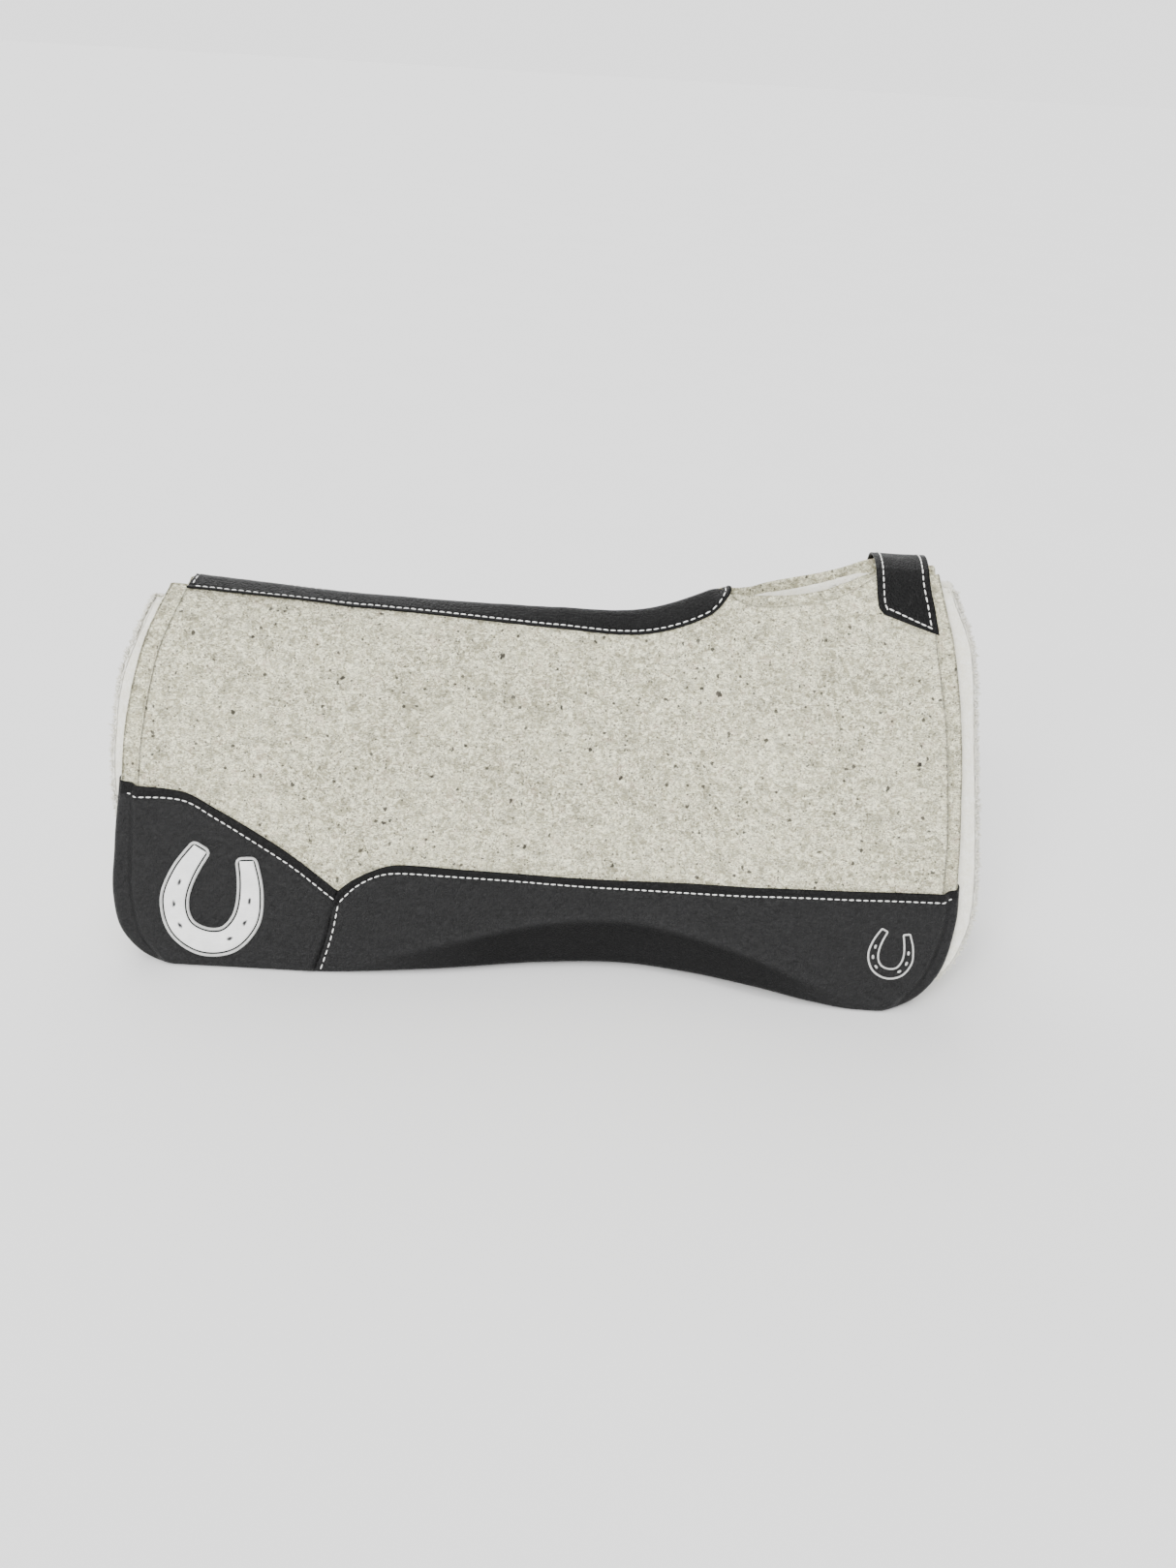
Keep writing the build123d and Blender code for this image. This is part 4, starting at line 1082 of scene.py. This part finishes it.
def over_crest(xa, reach, rise):
    """Where a leather lies over the crest, for (x, distance across) points, right side positive.

    Nearer to the middle than reach it is an arc, which rises by rise(y, angle) from where it starts. Given back
    are the points as on the right side, straight out of them, and how far each is towards the arc's end.
    """
    x, size = xa[:, 0], np.abs(xa[:, 1])
    _, y, z, angle = skin(x, np.maximum(size, reach), TRIM_DEPTH)
    share = np.clip(size / reach, 0, 1)
    points = np.stack([x, y * share, z + rise(y, angle) * (1 - share**2)], axis=1)
    return points, np.stack([x * 0, -np.sin(angle * share), np.cos(angle * share)], axis=1), share


def on_own_side(points, across):
    """Those points, on the left where they lie left of the middle."""
    return points * np.where(across[:, None] < 0, MIRROR, (1, 1, 1))


def spine_points(xa, seed=90):
    """Points of the spine leather's outer face; a is the distance across from the seam, right side positive."""
    x, a = xa[:, 0], xa[:, 1]
    points, normal, _ = over_crest(xa, RIDGE, lambda y, angle: np.tan(angle) * np.abs(y) / 2)
    flat = np.stack([x, a, x * 0], axis=1)
    lift = 0.5 * layered(flat, 38, seed, 2) + 0.3 * noise(flat * (1, 0.4, 1), 11, seed + 4)
    near_edge = np.interp(x, *SPINE_LINE.T) - np.abs(a)
    lift -= 0.6 * hump(near_edge - STITCH_INSET, 1.5) + 0.5 * smooth((1.6 - near_edge) / 1.6)
    # the front end dips to the felt, and the rear's right edge stands a little proud
    lift -= 5.5 * smooth((x - 138) / 22) * smooth((16 - np.abs(a)) / 16)
    lift += 1.9 * smooth((-185 - x) / 40) * (a > 0) * smooth((5.5 - near_edge) / 4.5)
    return on_own_side(points + normal * lift[:, None], a)


def leather_strip(name, grid, at):
    """A strip over the crest from a grid of (x, distance across) points, with its outer face up."""
    rows, cols = grid.shape[:2]
    obj = new_object(name, at(grid.reshape(-1, 2)), grid_faces(rows, cols), LEATHER)
    if obj.data.polygons[len(obj.data.polygons) // 2].normal.z < 0:
        obj.data.flip_normals()
    return thickened(obj, TRIM_HIDE)


stations = np.concatenate([np.linspace(-341, 120, 300), 120 + 38 * np.sin(np.linspace(0.03, 1, 40) * pi / 2)])
widths = np.interp(stations, *SPINE_LINE.T)
across = np.linspace(-1, 1, 41)
# the rear end is cut to a shallow notch
slant = np.where(stations < -300, (-300 - stations) / 41, 0)[:, None] * (1 - np.abs(across))[None] * 4
spine_grid = np.stack([stations[:, None] + slant, widths[:, None] * across[None]], axis=-1)
bend(leather_strip("spine_leather_soft", spine_grid, spine_points), "trim_leather", "spine_leather")


def strap_points(xa, seed=95):
    """Points of the wither strap's outer face; a is the distance across the middle, right side positive."""
    x, a = xa[:, 0], xa[:, 1]
    points, normal, share = over_crest(xa, GAP, lambda y, angle: CROWN)
    lift = 0.4 * layered(np.stack([x, a, x * 0], axis=1), 24, seed, 2)
    lift -= (1 - share) * hump(x - 309, 12)
    return on_own_side(points + normal * lift[:, None], a)


def strap_down(x, z):
    return float(down_at_z(np.array([x]), np.array([z]), TRIM_DEPTH)[0])


strap_left = [(286, 0), (286.5, strap_down(286.5, 378)), (289, strap_down(289, 358)),
              (294.5, strap_down(294.5, 351.5))]
strap_right = [(334, 0), (334.5, strap_down(334.5, 378)), (340, strap_down(340, 356)),
               (345, strap_down(345, 336.5))]
side_left, side_right = [evenly(curve(edge, count=60), 46) for edge in (strap_left, strap_right)]
share = np.linspace(0, 1, 34)
half_grid = side_left[:, None] * (1 - share)[None, :, None] + side_right[:, None] * share[None, :, None]
strap_grid = np.concatenate([half_grid[::-1][:-1] * (1, -1), half_grid])
bend(leather_strip("wither_strap_soft", strap_grid, strap_points), "trim_leather", "wither_strap")

# ---------------------------------------------------------------- stitches of the spine leather and the strap
row = SPINE_LINE[SPINE_LINE[:, 0] < 150] - (0, STITCH_INSET)
front_end = [(151.5, 15.5), (154.0, 9.5), (154.4, 2)]
row = np.concatenate([row[(row[:, 0] > -336) & (row[:, 0] < 146)], front_end])
rear_end = np.array([(-336.5, 14.5), (-335.5, 8), (-334, 1)])
# this many points of each of the strap's edges, 46 in all, lie over the gap between the felts
OVER_GAP = 7
from_edge = np.array((6.0, 0))
side_rows = [side_left[OVER_GAP - 1 : -3] + from_edge, side_right[OVER_GAP - 1 : -4] - from_edge]
low_row = evenly(np.array([side_left[-1] + (3, -5.5), side_right[-1] + (-6, -5.5)]), 20)
bridge_rows = [side_left[:OVER_GAP] + from_edge, side_right[:OVER_GAP] - from_edge]
for side, left in SIDES:
    places = rows_over((row, rear_end), spine_points)
    sewn = stitch_mesh(f"{side}_spine_stitches_thread", *places, left)
    bend(sewn, "stitch_thread", f"{side}_spine_stitches")
for side, left in SIDES:
    places = rows_over([*side_rows, low_row], strap_points)
    sewn = stitch_mesh(f"{side}_strap_stitches_thread", *places, left)
    bend(sewn, "stitch_thread", f"{side}_strap_stitches")
both_ways = [np.concatenate([line[::-1] * (1, -1), line]) for line in bridge_rows]
sewn = stitch_mesh("strap_bridge_stitches_thread", *rows_over(both_ways, strap_points), False)
bend(sewn, "stitch_thread", "strap_bridge_stitches")

# the zigzag under the spine leather that joins the two sides
zig = [np.array([(x, 1.0), (x + 2, 5.5)]) for x in range(-330, 141, 10)]


def under_spine(xa):
    """Points of the seam thread for (x, distance across) points."""
    x, y, z, angle = skin(xa[:, 0], np.abs(xa[:, 1]), -0.3)
    return np.stack([x, np.where(xa[:, 1] < 0, -y, y), z], axis=1)


lines = zig + [line * (1, -1) for line in zig]
middles = np.concatenate([line.mean(0, keepdims=True) for line in lines])
runs = np.concatenate([under_spine(line[1:]) - under_spine(line[:1]) for line in lines])
normals = facing(under_spine, middles)
normals *= np.sign(normals[:, 2:3])
hidden = stitch_mesh("spine_seam_thread_zigzag", under_spine(middles), runs, normals, False,
                     size=(4.2, 0.7, 0.5), sink=0.4)
bend(hidden, "stitch_thread", "spine_seam_thread")

# ---------------------------------------------------------------- floor, light and camera
FLOOR_HALF = 80.0
corners = [(x * FLOOR_HALF, y * FLOOR_HALF, 0) for x, y in ((-1, -1), (1, -1), (1, 1), (-1, 1))]
floor_mesh = bpy.data.meshes.new("floor")
floor_mesh.from_pydata(corners, [], [(0, 1, 2, 3)])
floor = bpy.data.objects.new("floor", floor_mesh)
bpy.context.collection.objects.link(floor)


def floor_nodes(tree, shader, position):
    cloudy = noise_node(tree, position, 3, 2)
    tree.links.new(mix(tree, cloudy, (0.88, 0.88, 0.88), (0.92, 0.92, 0.92)), shader.inputs["Base Color"])


floor.data.materials.append(material("pale_floor", floor_nodes, 0.8, (0.9, 0.9, 0.9)))

world = bpy.data.worlds.new("studio")
bpy.context.scene.world = world
world.use_nodes = True
sky = world.node_tree
direction = sky.nodes.new("ShaderNodeSeparateXYZ")
sky.links.new(sky.nodes.new("ShaderNodeTexCoord").outputs["Generated"], direction.inputs[0])
# as bright as the floor at the horizon, and dimmer above
glow = ramp(sky, direction.outputs["Z"], 0.04, 0.34, 1.95, 0.6)
sky.links.new(glow, sky.nodes["Background"].inputs["Strength"])
sky.nodes["Background"].inputs["Color"].default_value = (1, 1, 1, 1)


def sun(name, toward, strength, spread):
    """A broad soft light from one direction."""
    lamp = bpy.data.lights.new(name, "SUN")
    lamp.energy, lamp.angle = strength, radians(spread)
    obj = bpy.data.objects.new(name, lamp)
    obj.rotation_euler = Vector(toward).to_track_quat("-Z", "Y").to_euler()
    bpy.context.collection.objects.link(obj)


sun("key", (0.28, 0.85, -0.52), 3.9, 32)
sun("top", (0.1, 0.3, -1.0), 1.6, 60)
sun("back", (0.2, -0.8, -0.8), 2.2, 50)

PITCH, ROLL, DISTANCE, TARGET = radians(24.5), radians(3.4), 1.45, Vector((0.038, -0.1, 0.1905))
forward = Vector((0, cos(PITCH), -sin(PITCH)))
right, up = Vector((1, 0, 0)), Vector((0, sin(PITCH), cos(PITCH)))
turned_right = right * cos(ROLL) + up * sin(ROLL)
turned_up = up * cos(ROLL) - right * sin(ROLL)
camera = bpy.data.objects.new("camera", bpy.data.cameras.new("camera"))
camera.data.lens = 36.6
axes = Matrix((turned_right, turned_up, -forward)).transposed().to_4x4()
camera.matrix_world = Matrix.Translation(TARGET - forward * DISTANCE) @ axes
bpy.context.collection.objects.link(camera)
bpy.context.scene.camera = camera
